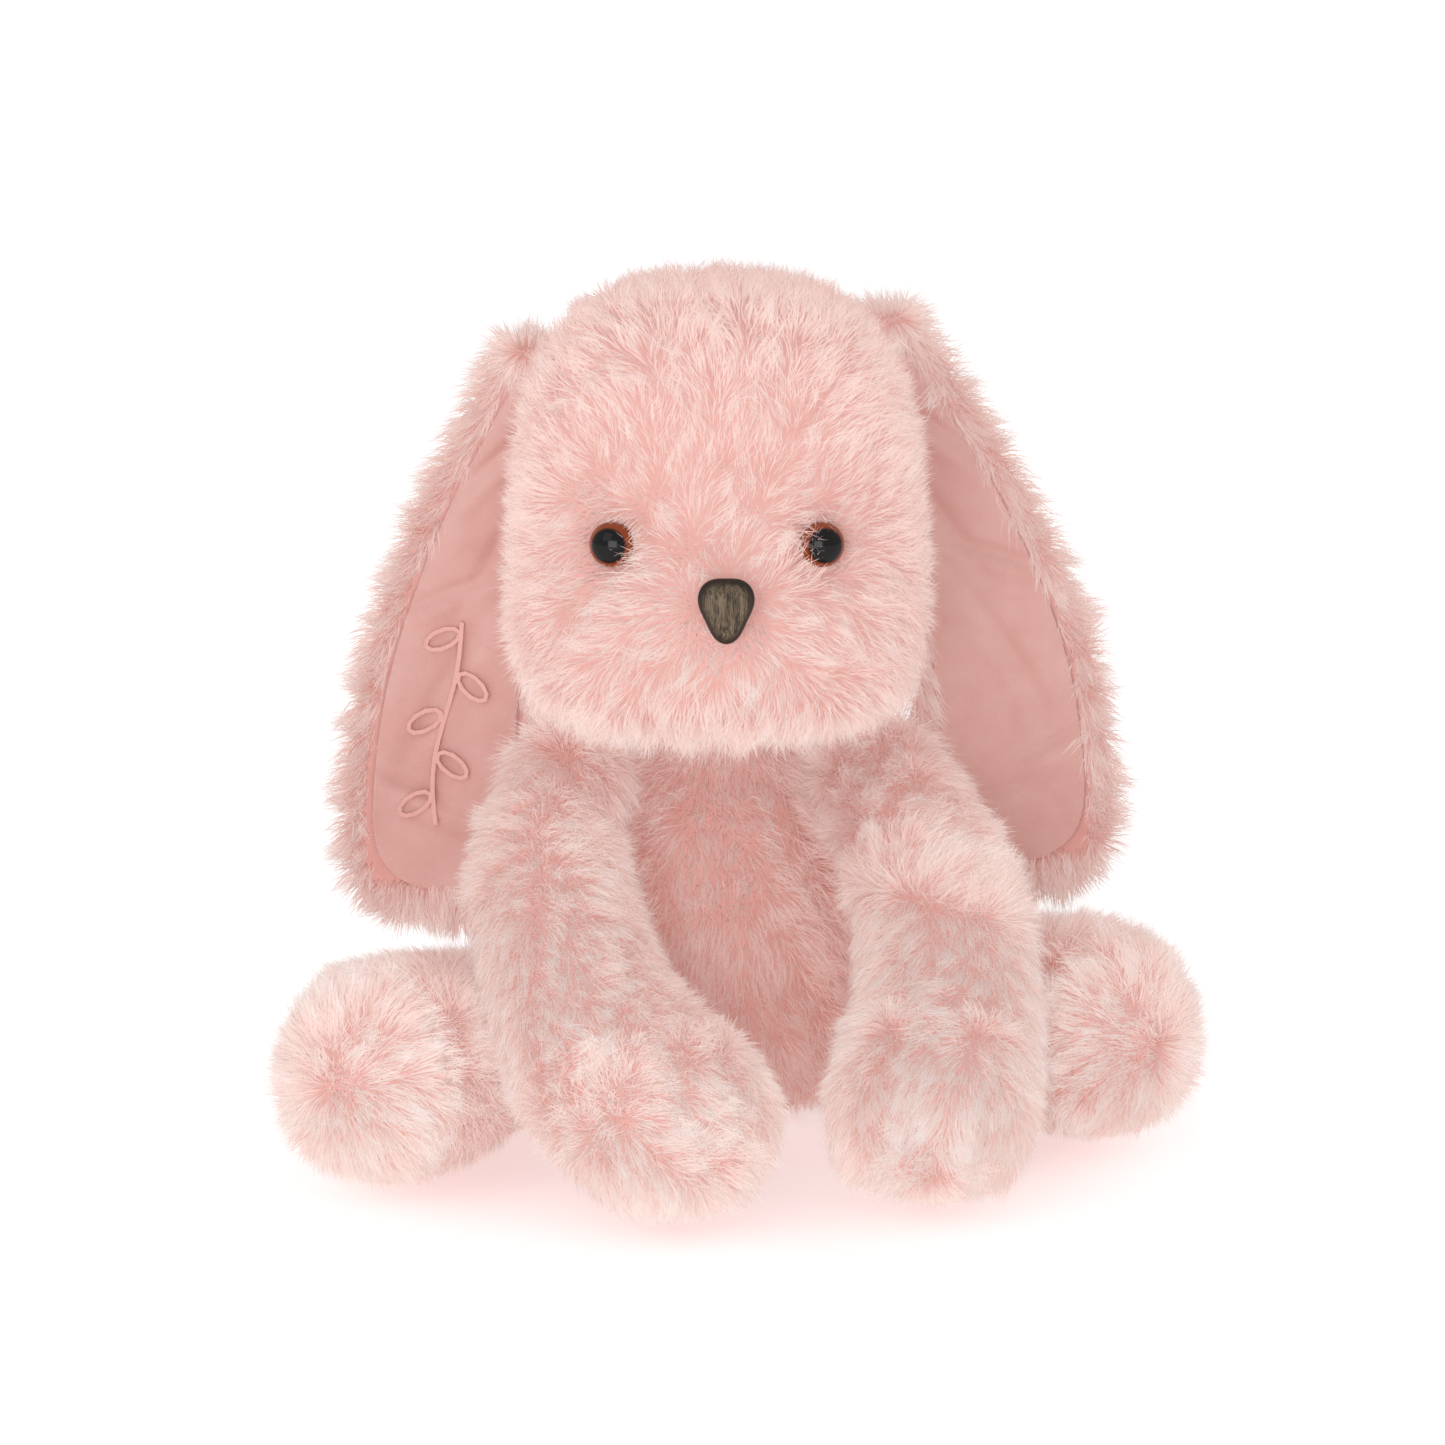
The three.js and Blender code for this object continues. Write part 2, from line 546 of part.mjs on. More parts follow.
// ---------------------------------------------------------------- torso
function buildTorso() {
  const tailAt = onTorso(96, TAIL_HEIGHT, TAIL_RADIUS - 7);
  const tailHole = ball(tailAt, TAIL_RADIUS + GAP);
  let skin = TORSO.build(0).subtract(TORSO.build(SKIN)).subtract(tailHole);
  let filling = TORSO.build(SKIN + GAP).subtract(tailHole);
  for (const side of ["right", "left"]) {
    const arm = arms[side];
    const leg = legs[side];
    const armPath = swept(arm.shadow, arm.root, LIFT_AXIS, LIFT_RANGE, 6).add(arm.socket);
    const legPath = swept(leg.shadow, leg.root, SPLAY_AXIS[side], LEGS[side].range, 8).add(leg.socket);
    skin = skin.subtract(armPath).subtract(legPath);
    filling = filling.subtract(armPath).subtract(legPath);
  }
  skin = skin.subtract(ball(neck, NECK_RADIUS + GAP, 20));
  filling = filling.add(ball(neck, NECK_RADIUS, 20));
  const pouchSpace = (grow) => {
    const lens = new THREE.SphereGeometry(1, 18, 10);
    lens.rotateX(Math.PI / 2);
    lens.scale(POUCH_RADIUS + grow, POUCH_RADIUS + grow, POUCH_HEIGHT / 2 + grow);
    lens.translate(0, TORSO_CENTRE_Y, SKIN + POUCH_HEIGHT / 2 - 3);
    return solid(lens);
  };
  const pouch = largest(filling.intersect(pouchSpace(0)));
  const tailSkin = ball(tailAt, TAIL_RADIUS);
  const tailInner = ball(tailAt, TAIL_RADIUS - SKIN);
  const inward = vec(0, TORSO_CENTRE_Y, TAIL_HEIGHT).sub(tailAt).normalize();
  const mouth = (r, to) => turned([[0, 0], [r, 0], [r, to], [0, to]], tailAt, inward);
  return [
    named("torso_skin", largest(skin), FUR),
    named("torso_filling", largest(filling.subtract(pouchSpace(GAP))), FILLING),
    named("bean_pouch", pouch, BEANS),
    named("tail_skin", tailSkin.subtract(tailInner).subtract(mouth(6, 40)), FUR),
    named("tail_filling", ball(tailAt, TAIL_RADIUS - SKIN - GAP).add(mouth(6 - GAP, TAIL_RADIUS - 2)), FILLING),
  ];
}

// The cuts for the limbs can leave slivers beside a body: the body itself is the largest piece.
function largest(body) {
  return body.decompose().sort((a, b) => b.volume() - a.volume())[0];
}

function buildLimbs(prefix, limbs) {
  return ["right", "left"].flatMap((side) => [
    named(prefix + "_skin_" + side, limbs[side].skin, FUR),
    named(prefix + "_filling_" + side, limbs[side].filling, FILLING),
  ]);
}

// The bodies are laid out around the head, and the whole then moves so that the seat's middle is the origin.
const bunny = new THREE.Group();
bunny.position.y = -TORSO_CENTRE_Y;
bunny.add(...buildTorso(), ...buildHead(), ...buildEyes(), ...buildEars());
bunny.add(...buildLimbs("arm", arms), ...buildLimbs("leg", legs));

export default bunny;
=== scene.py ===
"""Looks of a seated lop-eared plush rabbit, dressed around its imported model.

Every soft body is a stuffed cloth form with a coat of fur grown on it strand by strand. The ears are lined
with short velvet, the nose is a padded satin triangle and the eyes are polished domes.
Metres, +Z up. The face looks along -Y, and the rabbit's own right side is at -X.
"""

import json
import logging
import math
from dataclasses import dataclass
from enum import Enum
from typing import Callable

import bmesh
import bpy
import numpy as np
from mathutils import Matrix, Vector
from mathutils.bvhtree import BVHTree


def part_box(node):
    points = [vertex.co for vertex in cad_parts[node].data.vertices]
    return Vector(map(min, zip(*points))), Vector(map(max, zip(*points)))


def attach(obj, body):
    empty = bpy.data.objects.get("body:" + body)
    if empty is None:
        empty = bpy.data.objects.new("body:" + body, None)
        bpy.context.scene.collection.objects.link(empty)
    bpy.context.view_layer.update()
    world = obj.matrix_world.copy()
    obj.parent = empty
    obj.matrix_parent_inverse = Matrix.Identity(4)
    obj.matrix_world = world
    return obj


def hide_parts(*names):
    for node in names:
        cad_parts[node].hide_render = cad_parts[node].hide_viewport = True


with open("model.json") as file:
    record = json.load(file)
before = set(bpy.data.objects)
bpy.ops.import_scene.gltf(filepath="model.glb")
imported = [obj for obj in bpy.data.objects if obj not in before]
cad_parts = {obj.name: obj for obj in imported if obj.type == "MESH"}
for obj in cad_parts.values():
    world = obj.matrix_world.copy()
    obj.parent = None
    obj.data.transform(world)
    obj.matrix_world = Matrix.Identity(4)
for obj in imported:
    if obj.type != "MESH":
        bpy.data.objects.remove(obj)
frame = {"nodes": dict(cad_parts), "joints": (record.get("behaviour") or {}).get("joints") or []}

MM = 0.001
LOG = logging.getLogger("rabbit")
Colour = tuple[float, float, float]
Comb = Callable[[np.ndarray, np.ndarray], "Combing"]


class Side(Enum):
    """The rabbit's own right and left, and the sign of X on that side."""

    RIGHT = -1
    LEFT = 1

    @property
    def word(self) -> str:
        """The side's name as it stands in node names."""
        return self.name.lower()


# ------------------------------------------------------------------ vectors and noise
def unit(rows: np.ndarray) -> np.ndarray:
    """Scales each row to length one.

    Args:
        rows: An array whose last axis holds vectors.

    Returns:
        The same vectors with length one, or zero where they had none.
    """
    size = np.linalg.norm(rows, axis=-1, keepdims=True)
    return rows / np.maximum(size, 1e-12)


def dot(a: np.ndarray, b: np.ndarray) -> np.ndarray:
    """Row by row dot product, kept as a column."""
    return (a * b).sum(-1, keepdims=True)


def ramp(values: np.ndarray, low: float, high: float) -> np.ndarray:
    """Smooth step from 0 at low to 1 at high."""
    t = np.clip((values - low) / (high - low), 0, 1)
    return t * t * (3 - 2 * t)


def joint_point(name: str) -> np.ndarray:
    """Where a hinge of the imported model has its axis, at rest."""
    found = next(j for j in frame["joints"] if j["name"] == name)
    return np.array(found["pos_m"], float)


def node_box(name: str) -> tuple[np.ndarray, np.ndarray]:
    """A CAD node's lowest and highest corner as arrays."""
    low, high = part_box(name)
    return np.array(low), np.array(high)


class WaveField:
    """Smooth seeded noise made of plane waves, with its gradient.

    Args:
        seed: What the waves are drawn from.
        wavelength: The size of its features, in metres.
        waves: How many waves are added.
    """

    def __init__(self, seed: int, wavelength: float, waves: int = 28) -> None:
        rng = np.random.default_rng(seed)
        self.wave = unit(rng.normal(size=(waves, 3))) * (2 * math.pi / wavelength)
        self.wave *= rng.uniform(0.6, 1.4, size=(waves, 1))
        self.phase = rng.uniform(0, 2 * math.pi, waves)
        self.gain = math.sqrt(2 / waves)

    def value(self, points: np.ndarray) -> np.ndarray:
        """Noise of about unit spread at each point."""
        return np.sin(points @ self.wave.T + self.phase).sum(1) * self.gain

    def slope(self, points: np.ndarray) -> np.ndarray:
        """Direction of steepest rise at each point, of about unit length."""
        rise = np.cos(points @ self.wave.T + self.phase) @ self.wave
        return rise * self.gain / np.linalg.norm(self.wave, axis=1).mean()


# ------------------------------------------------------------------ shader building
class Nodes:
    """A short way to add and link the nodes of one tree.

    Args:
        tree: The shader node tree that is built.
    """

    def __init__(self, tree: bpy.types.NodeTree) -> None:
        self.tree = tree

    def add(self, kind: str, **values: object) -> bpy.types.Node:
        """Adds a node, sets its properties and sockets, and returns it.

        Args:
            kind: The node's type without its ShaderNode prefix.
            values: Properties by their own name, and sockets by theirs with spaces as underscores.

        Returns:
            The new node.
        """
        node = self.tree.nodes.new("ShaderNode" + kind)
        for name, value in values.items():
            if hasattr(node, name):
                setattr(node, name, value)
                continue
            socket = node.inputs[name.replace("_", " ")]
            if isinstance(value, bpy.types.NodeSocket):
                self.tree.links.new(value, socket)
            else:
                socket.default_value = value
        return node

    def math(self, operation: str, *values: object) -> bpy.types.NodeSocket:
        """Adds a Math node on the given sockets or numbers and returns its result."""
        node = self.tree.nodes.new("ShaderNodeMath")
        node.operation = operation
        for i, value in enumerate(values):
            if isinstance(value, bpy.types.NodeSocket):
                self.tree.links.new(value, node.inputs[i])
            else:
                node.inputs[i].default_value = value
        return node.outputs[0]

    def mix(self, share: object, a: object, b: object) -> bpy.types.NodeSocket:
        """Adds a colour mix of a and b by share and returns its colour."""
        node = self.tree.nodes.new("ShaderNodeMix")
        node.data_type = "RGBA"
        for socket, value in ((node.inputs[0], share), (node.inputs[6], a), (node.inputs[7], b)):
            if isinstance(value, bpy.types.NodeSocket):
                self.tree.links.new(value, socket)
            elif socket.type == "RGBA":
                socket.default_value = (*value, 1)
            else:
                socket.default_value = value
        return node.outputs[2]


def shader_group(name: str, inputs: dict[str, object], outputs: dict[str, str],
                 build: Callable[[Nodes, bpy.types.Node, bpy.types.Node], None]) -> bpy.types.NodeTree:
    """Builds a named node group once, and returns it.

    Args:
        name: The group's name.
        inputs: Each input's name and default: a number or a colour.
        outputs: Each output's name and its socket kind, Float, Color or Vector.
        build: Fills the group, given its nodes, input node and output node.

    Returns:
        The group's node tree.
    """
    if name in bpy.data.node_groups:
        return bpy.data.node_groups[name]
    tree = bpy.data.node_groups.new(name, "ShaderNodeTree")
    for label, value in inputs.items():
        kind = "NodeSocketColor" if isinstance(value, tuple) else "NodeSocketFloat"
        socket = tree.interface.new_socket(label, in_out="INPUT", socket_type=kind)
        socket.default_value = (*value, 1) if isinstance(value, tuple) else value
    for label, kind in outputs.items():
        tree.interface.new_socket(label, in_out="OUTPUT", socket_type="NodeSocket" + kind)
    start = tree.nodes.new("NodeGroupInput")
    end = tree.nodes.new("NodeGroupOutput")
    build(Nodes(tree), start, end)
    return tree


def place_group(nodes: Nodes, tree: bpy.types.NodeTree, **values: object) -> bpy.types.Node:
    """Puts a group into a material with its own values.

    Args:
        nodes: The material's nodes.
        tree: The group.
        values: Its inputs, by name with underscores for spaces.

    Returns:
        The group's node.
    """
    node = nodes.tree.nodes.new("ShaderNodeGroup")
    node.node_tree = tree
    for name, value in values.items():
        socket = node.inputs[name.replace("_", " ")]
        if isinstance(value, bpy.types.NodeSocket):
            nodes.tree.links.new(value, socket)
        else:
            socket.default_value = (*value, 1) if isinstance(value, tuple) else value
    return node


def strand_colour_group() -> bpy.types.NodeTree:
    """Colour along a strand, from its own map: across is its shade, up is root to tip."""

    def build(nodes: Nodes, start: bpy.types.Node, end: bpy.types.Node) -> None:
        at = nodes.add("SeparateXYZ", Vector=nodes.add("UVMap", uv_map=STRAND_MAP).outputs[0])
        shade, along = at.outputs[0], at.outputs[1]
        low = nodes.add("MapRange", interpolation_type="SMOOTHSTEP", Value=along, From_Min=0.0, From_Max=0.55)
        high = nodes.add("MapRange", interpolation_type="SMOOTHSTEP", Value=along,
                         From_Min=0.45, From_Max=1.0)
        body = nodes.mix(low.outputs[0], start.outputs["Root"], start.outputs["Middle"])
        pale = nodes.mix(high.outputs[0], body, start.outputs["Tip"])
        deep = nodes.mix(high.outputs[0], body, start.outputs["Deep Tip"])
        nodes.tree.links.new(nodes.mix(shade, deep, pale), end.inputs["Color"])

    black = (0.0, 0.0, 0.0)
    return shader_group("Strand colour", {"Root": black, "Middle": black, "Tip": black, "Deep Tip": black},
                        {"Color": "Color"}, build)


def nap_group() -> bpy.types.NodeTree:
    """Mottling and fine relief of a short cut pile or a knitted backing."""

    def build(nodes: Nodes, start: bpy.types.Node, end: bpy.types.Node) -> None:
        place = nodes.add("TexCoord").outputs["Object"]
        broad = nodes.add("TexNoise", Vector=place, Detail=4.0, Roughness=0.6)
        nodes.tree.links.new(start.outputs["Patch Scale"], broad.inputs["Scale"])
        fine = nodes.add("TexNoise", Vector=place, Detail=3.0, Roughness=0.7)
        nodes.tree.links.new(start.outputs["Fibre Scale"], fine.inputs["Scale"])
        mixed = nodes.math("ADD", nodes.math("MULTIPLY", broad.outputs[0], 0.65),
                           nodes.math("MULTIPLY", fine.outputs[0], 0.35))
        spread = nodes.add("MapRange", Value=mixed, From_Min=0.34, From_Max=0.66)
        nodes.tree.links.new(spread.outputs[0], end.inputs["Mask"])
        nodes.tree.links.new(fine.outputs[0], end.inputs["Height"])

    return shader_group("Nap", {"Patch Scale": 90.0, "Fibre Scale": 1800.0},
                        {"Mask": "Float", "Height": "Float"}, build)


STRAND_MAP = "OFBake"


@dataclass(frozen=True)
class Finish:
    """What every finish has: its name and its surface's plain values."""

    name: str
    roughness: float = 0.8
    sheen: float = 0.0
    sheen_tint: Colour = (1.0, 1.0, 1.0)
    specular: float = 0.5

    def start(self) -> tuple[bpy.types.Material, Nodes, bpy.types.Node]:
        """Makes the material with its shader, and returns both with the means to add nodes."""
        material = bpy.data.materials.new(self.name)
        material.use_nodes = True
        tree = material.node_tree
        shader = tree.nodes["Principled BSDF"]
        shader.inputs["Roughness"].default_value = self.roughness
        shader.inputs["Sheen Weight"].default_value = self.sheen
        shader.inputs["Sheen Roughness"].default_value = 0.5
        shader.inputs["Sheen Tint"].default_value = (*self.sheen_tint, 1)
        shader.inputs["Specular IOR Level"].default_value = self.specular
        return material, Nodes(tree), shader

    def bump(self, nodes: Nodes, shader: bpy.types.Node, height: bpy.types.NodeSocket,
             strength: float, distance: float) -> None:
        """Feeds a height into the shader's normal."""
        node = nodes.add("Bump", Strength=strength, Distance=distance, Height=height)
        nodes.tree.links.new(node.outputs[0], shader.inputs["Normal"])


@dataclass(frozen=True)
class FurFinish(Finish):
    """Strands of a long pile: deep at the root, pale at the tip. The deep root is partly the pile's own
    colour and partly painted shade, standing in for the shadow that the strands do not cast.
    """

    # The root colour is partly the pile's own deeper pink and partly painted shade for the pile's missing
    # self-shadow.
    root: Colour = (0.70, 0.38, 0.34)
    middle: Colour = (0.79, 0.59, 0.54)
    tip: Colour = (0.83, 0.77, 0.73)
    deep_tip: Colour = (0.75, 0.46, 0.41)

    def material(self) -> bpy.types.Material:
        """Builds the strand material."""
        material, nodes, shader = self.start()
        group = place_group(nodes, strand_colour_group(), Root=self.root, Middle=self.middle, Tip=self.tip,
                            Deep_Tip=self.deep_tip)
        nodes.tree.links.new(group.outputs["Color"], shader.inputs["Base Color"])
        return material


@dataclass(frozen=True)
class NapFinish(Finish):
    """Velvet, knitted backing, filling and other cloth without a visible weave."""

    low: Colour = (0.5, 0.5, 0.5)
    high: Colour = (0.6, 0.6, 0.6)
    patch: float = 90.0
    fibre: float = 1800.0
    relief: float = 0.4

    def material(self) -> bpy.types.Material:
        """Builds the cloth material."""
        material, nodes, shader = self.start()
        group = place_group(nodes, nap_group(), Patch_Scale=self.patch, Fibre_Scale=self.fibre)
        colour = nodes.mix(group.outputs["Mask"], self.low, self.high)
        nodes.tree.links.new(colour, shader.inputs["Base Color"])
        self.bump(nodes, shader, group.outputs["Height"], self.relief, 0.4 * MM)
        return material


@dataclass(frozen=True)
class SatinFinish(Finish):
    """Brushed satin of the nose: fine upright threads, darker in the dips. Its pale middle streaks are thread
    grain and painted highlight, and its darkening toward the edge is painted shade.
    """

    dark: Colour = (0.017, 0.011, 0.006)
    light: Colour = (0.19, 0.135, 0.085)

    def material(self) -> bpy.types.Material:
        """Builds the satin material."""
        material, nodes, shader = self.start()
        place = nodes.add("TexCoord").outputs["Object"]
        long = nodes.add("Mapping", Vector=place, Scale=(1.0, 1.0, 0.09))
        threads = nodes.add("TexNoise", Vector=long.outputs[0], Scale=3200.0, Detail=4.0, Roughness=0.65)
        streaks = nodes.add("TexNoise", Vector=long.outputs[0], Scale=900.0, Detail=2.0)
        both = nodes.math("ADD", nodes.math("MULTIPLY", threads.outputs[0], 0.6),
                          nodes.math("MULTIPLY", streaks.outputs[0], 0.4))
        share = nodes.add("MapRange", Value=both, From_Min=0.40, From_Max=0.60)
        at = nodes.add("SeparateXYZ", Vector=nodes.add("UVMap", uv_map=STRAND_MAP).outputs[0])
        # Painted shade and highlight: the colour darkens toward the nose's edge on its map, and only its
        # middle keeps the pale streaks, which are thread grain and painted highlight.
        edge = nodes.add("MapRange", interpolation_type="SMOOTHSTEP", Value=at.outputs[0],
                         From_Min=0.6, From_Max=0.95)
        grain_and_painted_edge_shade = nodes.math("MULTIPLY", share.outputs[0], nodes.math("SUBTRACT", 1.0, edge.outputs[0]))
        colour = nodes.mix(grain_and_painted_edge_shade, self.dark, self.light)
        nodes.tree.links.new(colour, shader.inputs["Base Color"])
        self.bump(nodes, shader, both, 0.8, 0.35 * MM)
        return material


@dataclass(frozen=True)
class LensFinish(Finish):
    """A polished dome, black in the middle with a red-brown ring toward its edge."""

    pupil: Colour = (0.004, 0.003, 0.003)
    ring: Colour = (0.24, 0.045, 0.012)
    rim: Colour = (0.02, 0.006, 0.003)

    def material(self) -> bpy.types.Material:
        """Builds the lens material from the distance to the dome's middle on its own map."""
        material, nodes, shader = self.start()
        at = nodes.add("UVMap", uv_map=STRAND_MAP).outputs[0]
        from_middle = nodes.add("VectorMath", operation="DISTANCE")
        nodes.tree.links.new(at, from_middle.inputs[0])
        from_middle.inputs[1].default_value = (0.5, 0.5, 0.0)
        reach = from_middle.outputs["Value"]
        inner = nodes.add("MapRange", Value=reach, From_Min=0.26, From_Max=0.31)
        outer = nodes.add("MapRange", Value=reach, From_Min=0.46, From_Max=0.50)
        iris = nodes.mix(inner.outputs[0], self.pupil, self.ring)
        nodes.tree.links.new(nodes.mix(outer.outputs[0], iris, self.rim), shader.inputs["Base Color"])
        return material


@dataclass(frozen=True)
class ThreadFinish(Finish):
    """Embroidery thread: a fine slanted twist."""

    low: Colour = (0.62, 0.30, 0.26)
    high: Colour = (0.86, 0.52, 0.47)

    def material(self) -> bpy.types.Material:
        """Builds the thread material."""
        material, nodes, shader = self.start()
        place = nodes.add("TexCoord").outputs["Object"]
        twist = nodes.add("TexWave", Vector=place, Scale=900.0, Distortion=2.0, Detail=1.0)
        colour = nodes.mix(twist.outputs["Fac"], self.low, self.high)
        nodes.tree.links.new(colour, shader.inputs["Base Color"])
        self.bump(nodes, shader, twist.outputs["Fac"], 0.5, 0.1 * MM)
        return material


@dataclass(frozen=True)
class MouldedFinish(Finish):
    """Moulded plastic with faint flow marks."""

    low: Colour = (0.5, 0.5, 0.5)
    high: Colour = (0.6, 0.6, 0.6)

    def material(self) -> bpy.types.Material:
        """Builds the plastic material."""
        material, nodes, shader = self.start()
        place = nodes.add("TexCoord").outputs["Object"]
        flow = nodes.add("TexNoise", Vector=place, Scale=260.0, Detail=3.0)
        colour = nodes.mix(flow.outputs[0], self.low, self.high)
        nodes.tree.links.new(colour, shader.inputs["Base Color"])
        self.bump(nodes, shader, flow.outputs[0], 0.1, 0.1 * MM)
        return material


# ------------------------------------------------------------------ meshes
def new_object(name: str, points: np.ndarray, faces: list[tuple[int, ...]] | np.ndarray) -> bpy.types.Object:
    """Makes an object from points and faces and links it to the scene.

    Args:
        name: The object's name.
        points: Its points in metres, one row each.
        faces: The corners of each face.

    Returns:
        The object.
    """
    mesh = bpy.data.meshes.new(name)
    mesh.from_pydata([tuple(p) for p in points.tolist()], [], [tuple(f) for f in faces])
    mesh.update()
    obj = bpy.data.objects.new(name, mesh)
    bpy.context.scene.collection.objects.link(obj)
    return obj


def smooth(obj: bpy.types.Object) -> None:
    """Shades every face of an object smooth."""
    obj.data.polygons.foreach_set("use_smooth", [True] * len(obj.data.polygons))


def mesh_points(obj: bpy.types.Object) -> np.ndarray:
    """An object's points as rows."""
    flat = np.empty(len(obj.data.vertices) * 3)
    obj.data.vertices.foreach_get("co", flat)
    return flat.reshape(-1, 3)


def mesh_normals(obj: bpy.types.Object) -> np.ndarray:
    """The normal at each of an object's points."""
    flat = np.empty(len(obj.data.vertices) * 3)
    obj.data.vertex_normals.foreach_get("vector", flat)
    return flat.reshape(-1, 3)


def set_points(obj: bpy.types.Object, points: np.ndarray) -> None:
    """Moves an object's points to the given rows."""
    obj.data.vertices.foreach_set("co", points.ravel())
    obj.data.update()


def apply_modifier(obj: bpy.types.Object, kind: str, **values: object) -> None:
    """Adds a modifier with these values and applies it at once.

    Args:
        obj: The object, a mesh.
        kind: The modifier's type.
        values: Its properties.
    """
    modifier = obj.modifiers.new(kind.title(), kind)
    for name, value in values.items():
        setattr(modifier, name, value)
    with bpy.context.temp_override(object=obj, active_object=obj, selected_objects=[obj]):
        bpy.ops.object.modifier_apply(modifier=modifier.name)


def relax(obj: bpy.types.Object, rounds: int, share: float = 0.5) -> None:
    """Evens out an object's surface by moving each point toward its neighbours' mean."""
    points = mesh_points(obj)
    ends = np.empty(len(obj.data.edges) * 2, int)
    obj.data.edges.foreach_get("vertices", ends)
    a, b = ends.reshape(-1, 2).T
    count = np.bincount(np.concatenate([a, b]), minlength=len(points))[:, None]
    for _ in range(rounds):
        total = np.zeros_like(points)
        np.add.at(total, a, points[b])
        np.add.at(total, b, points[a])
        points += share * (total / np.maximum(count, 1) - points)
    set_points(obj, points)


@dataclass
class Surface:
    """A triangulated surface that fur can be grown on."""

    points: np.ndarray
    normals: np.ndarray
    triangles: np.ndarray

    @classmethod
    def of(cls, obj: bpy.types.Object) -> "Surface":
        """Reads an object's mesh."""
        mesh = obj.data
        mesh.calc_loop_triangles()
        flat = np.empty(len(mesh.loop_triangles) * 3, np.int32)
        mesh.loop_triangles.foreach_get("vertices", flat)
        return cls(mesh_points(obj), mesh_normals(obj), flat.reshape(-1, 3))

    def scatter(self, rng: np.random.Generator, count: int) -> tuple[np.ndarray, np.ndarray]:
        """Spreads roots evenly over the surface.

        Args:
            rng: What the places are drawn from.
            count: How many roots.

        Returns:
            The roots, and the surface's normal at each.
        """
        a, b, c = (self.points[self.triangles[:, k]] for k in range(3))
        area = np.linalg.norm(np.cross(b - a, c - a), axis=1)
        reach = np.cumsum(area)
        spots = (np.arange(count) + rng.random(count)) / count * reach[-1]
        chosen = np.minimum(np.searchsorted(reach, spots), len(area) - 1)
        u, v = rng.random(count), rng.random(count)
        over = u + v > 1
        u[over], v[over] = 1 - u[over], 1 - v[over]
        weights = np.stack([1 - u - v, u, v], 1)[:, :, None]
        corners = self.triangles[chosen]
        roots = (self.points[corners] * weights).sum(1)
        return roots, unit((self.normals[corners] * weights).sum(1))


@dataclass
class Combing:
    """How the pile lies at each root: which way it flows, its length and shade, and where there is none."""

    flow: np.ndarray
    length: np.ndarray
    shade: np.ndarray
    keep: np.ndarray

    @classmethod
    def even(cls, flow: np.ndarray) -> "Combing":
        """Full length, middle shade and pile everywhere, for a given flow."""
        count = len(flow)
        return cls(flow, np.ones(count), np.full(count, 0.5), np.ones(count, bool))


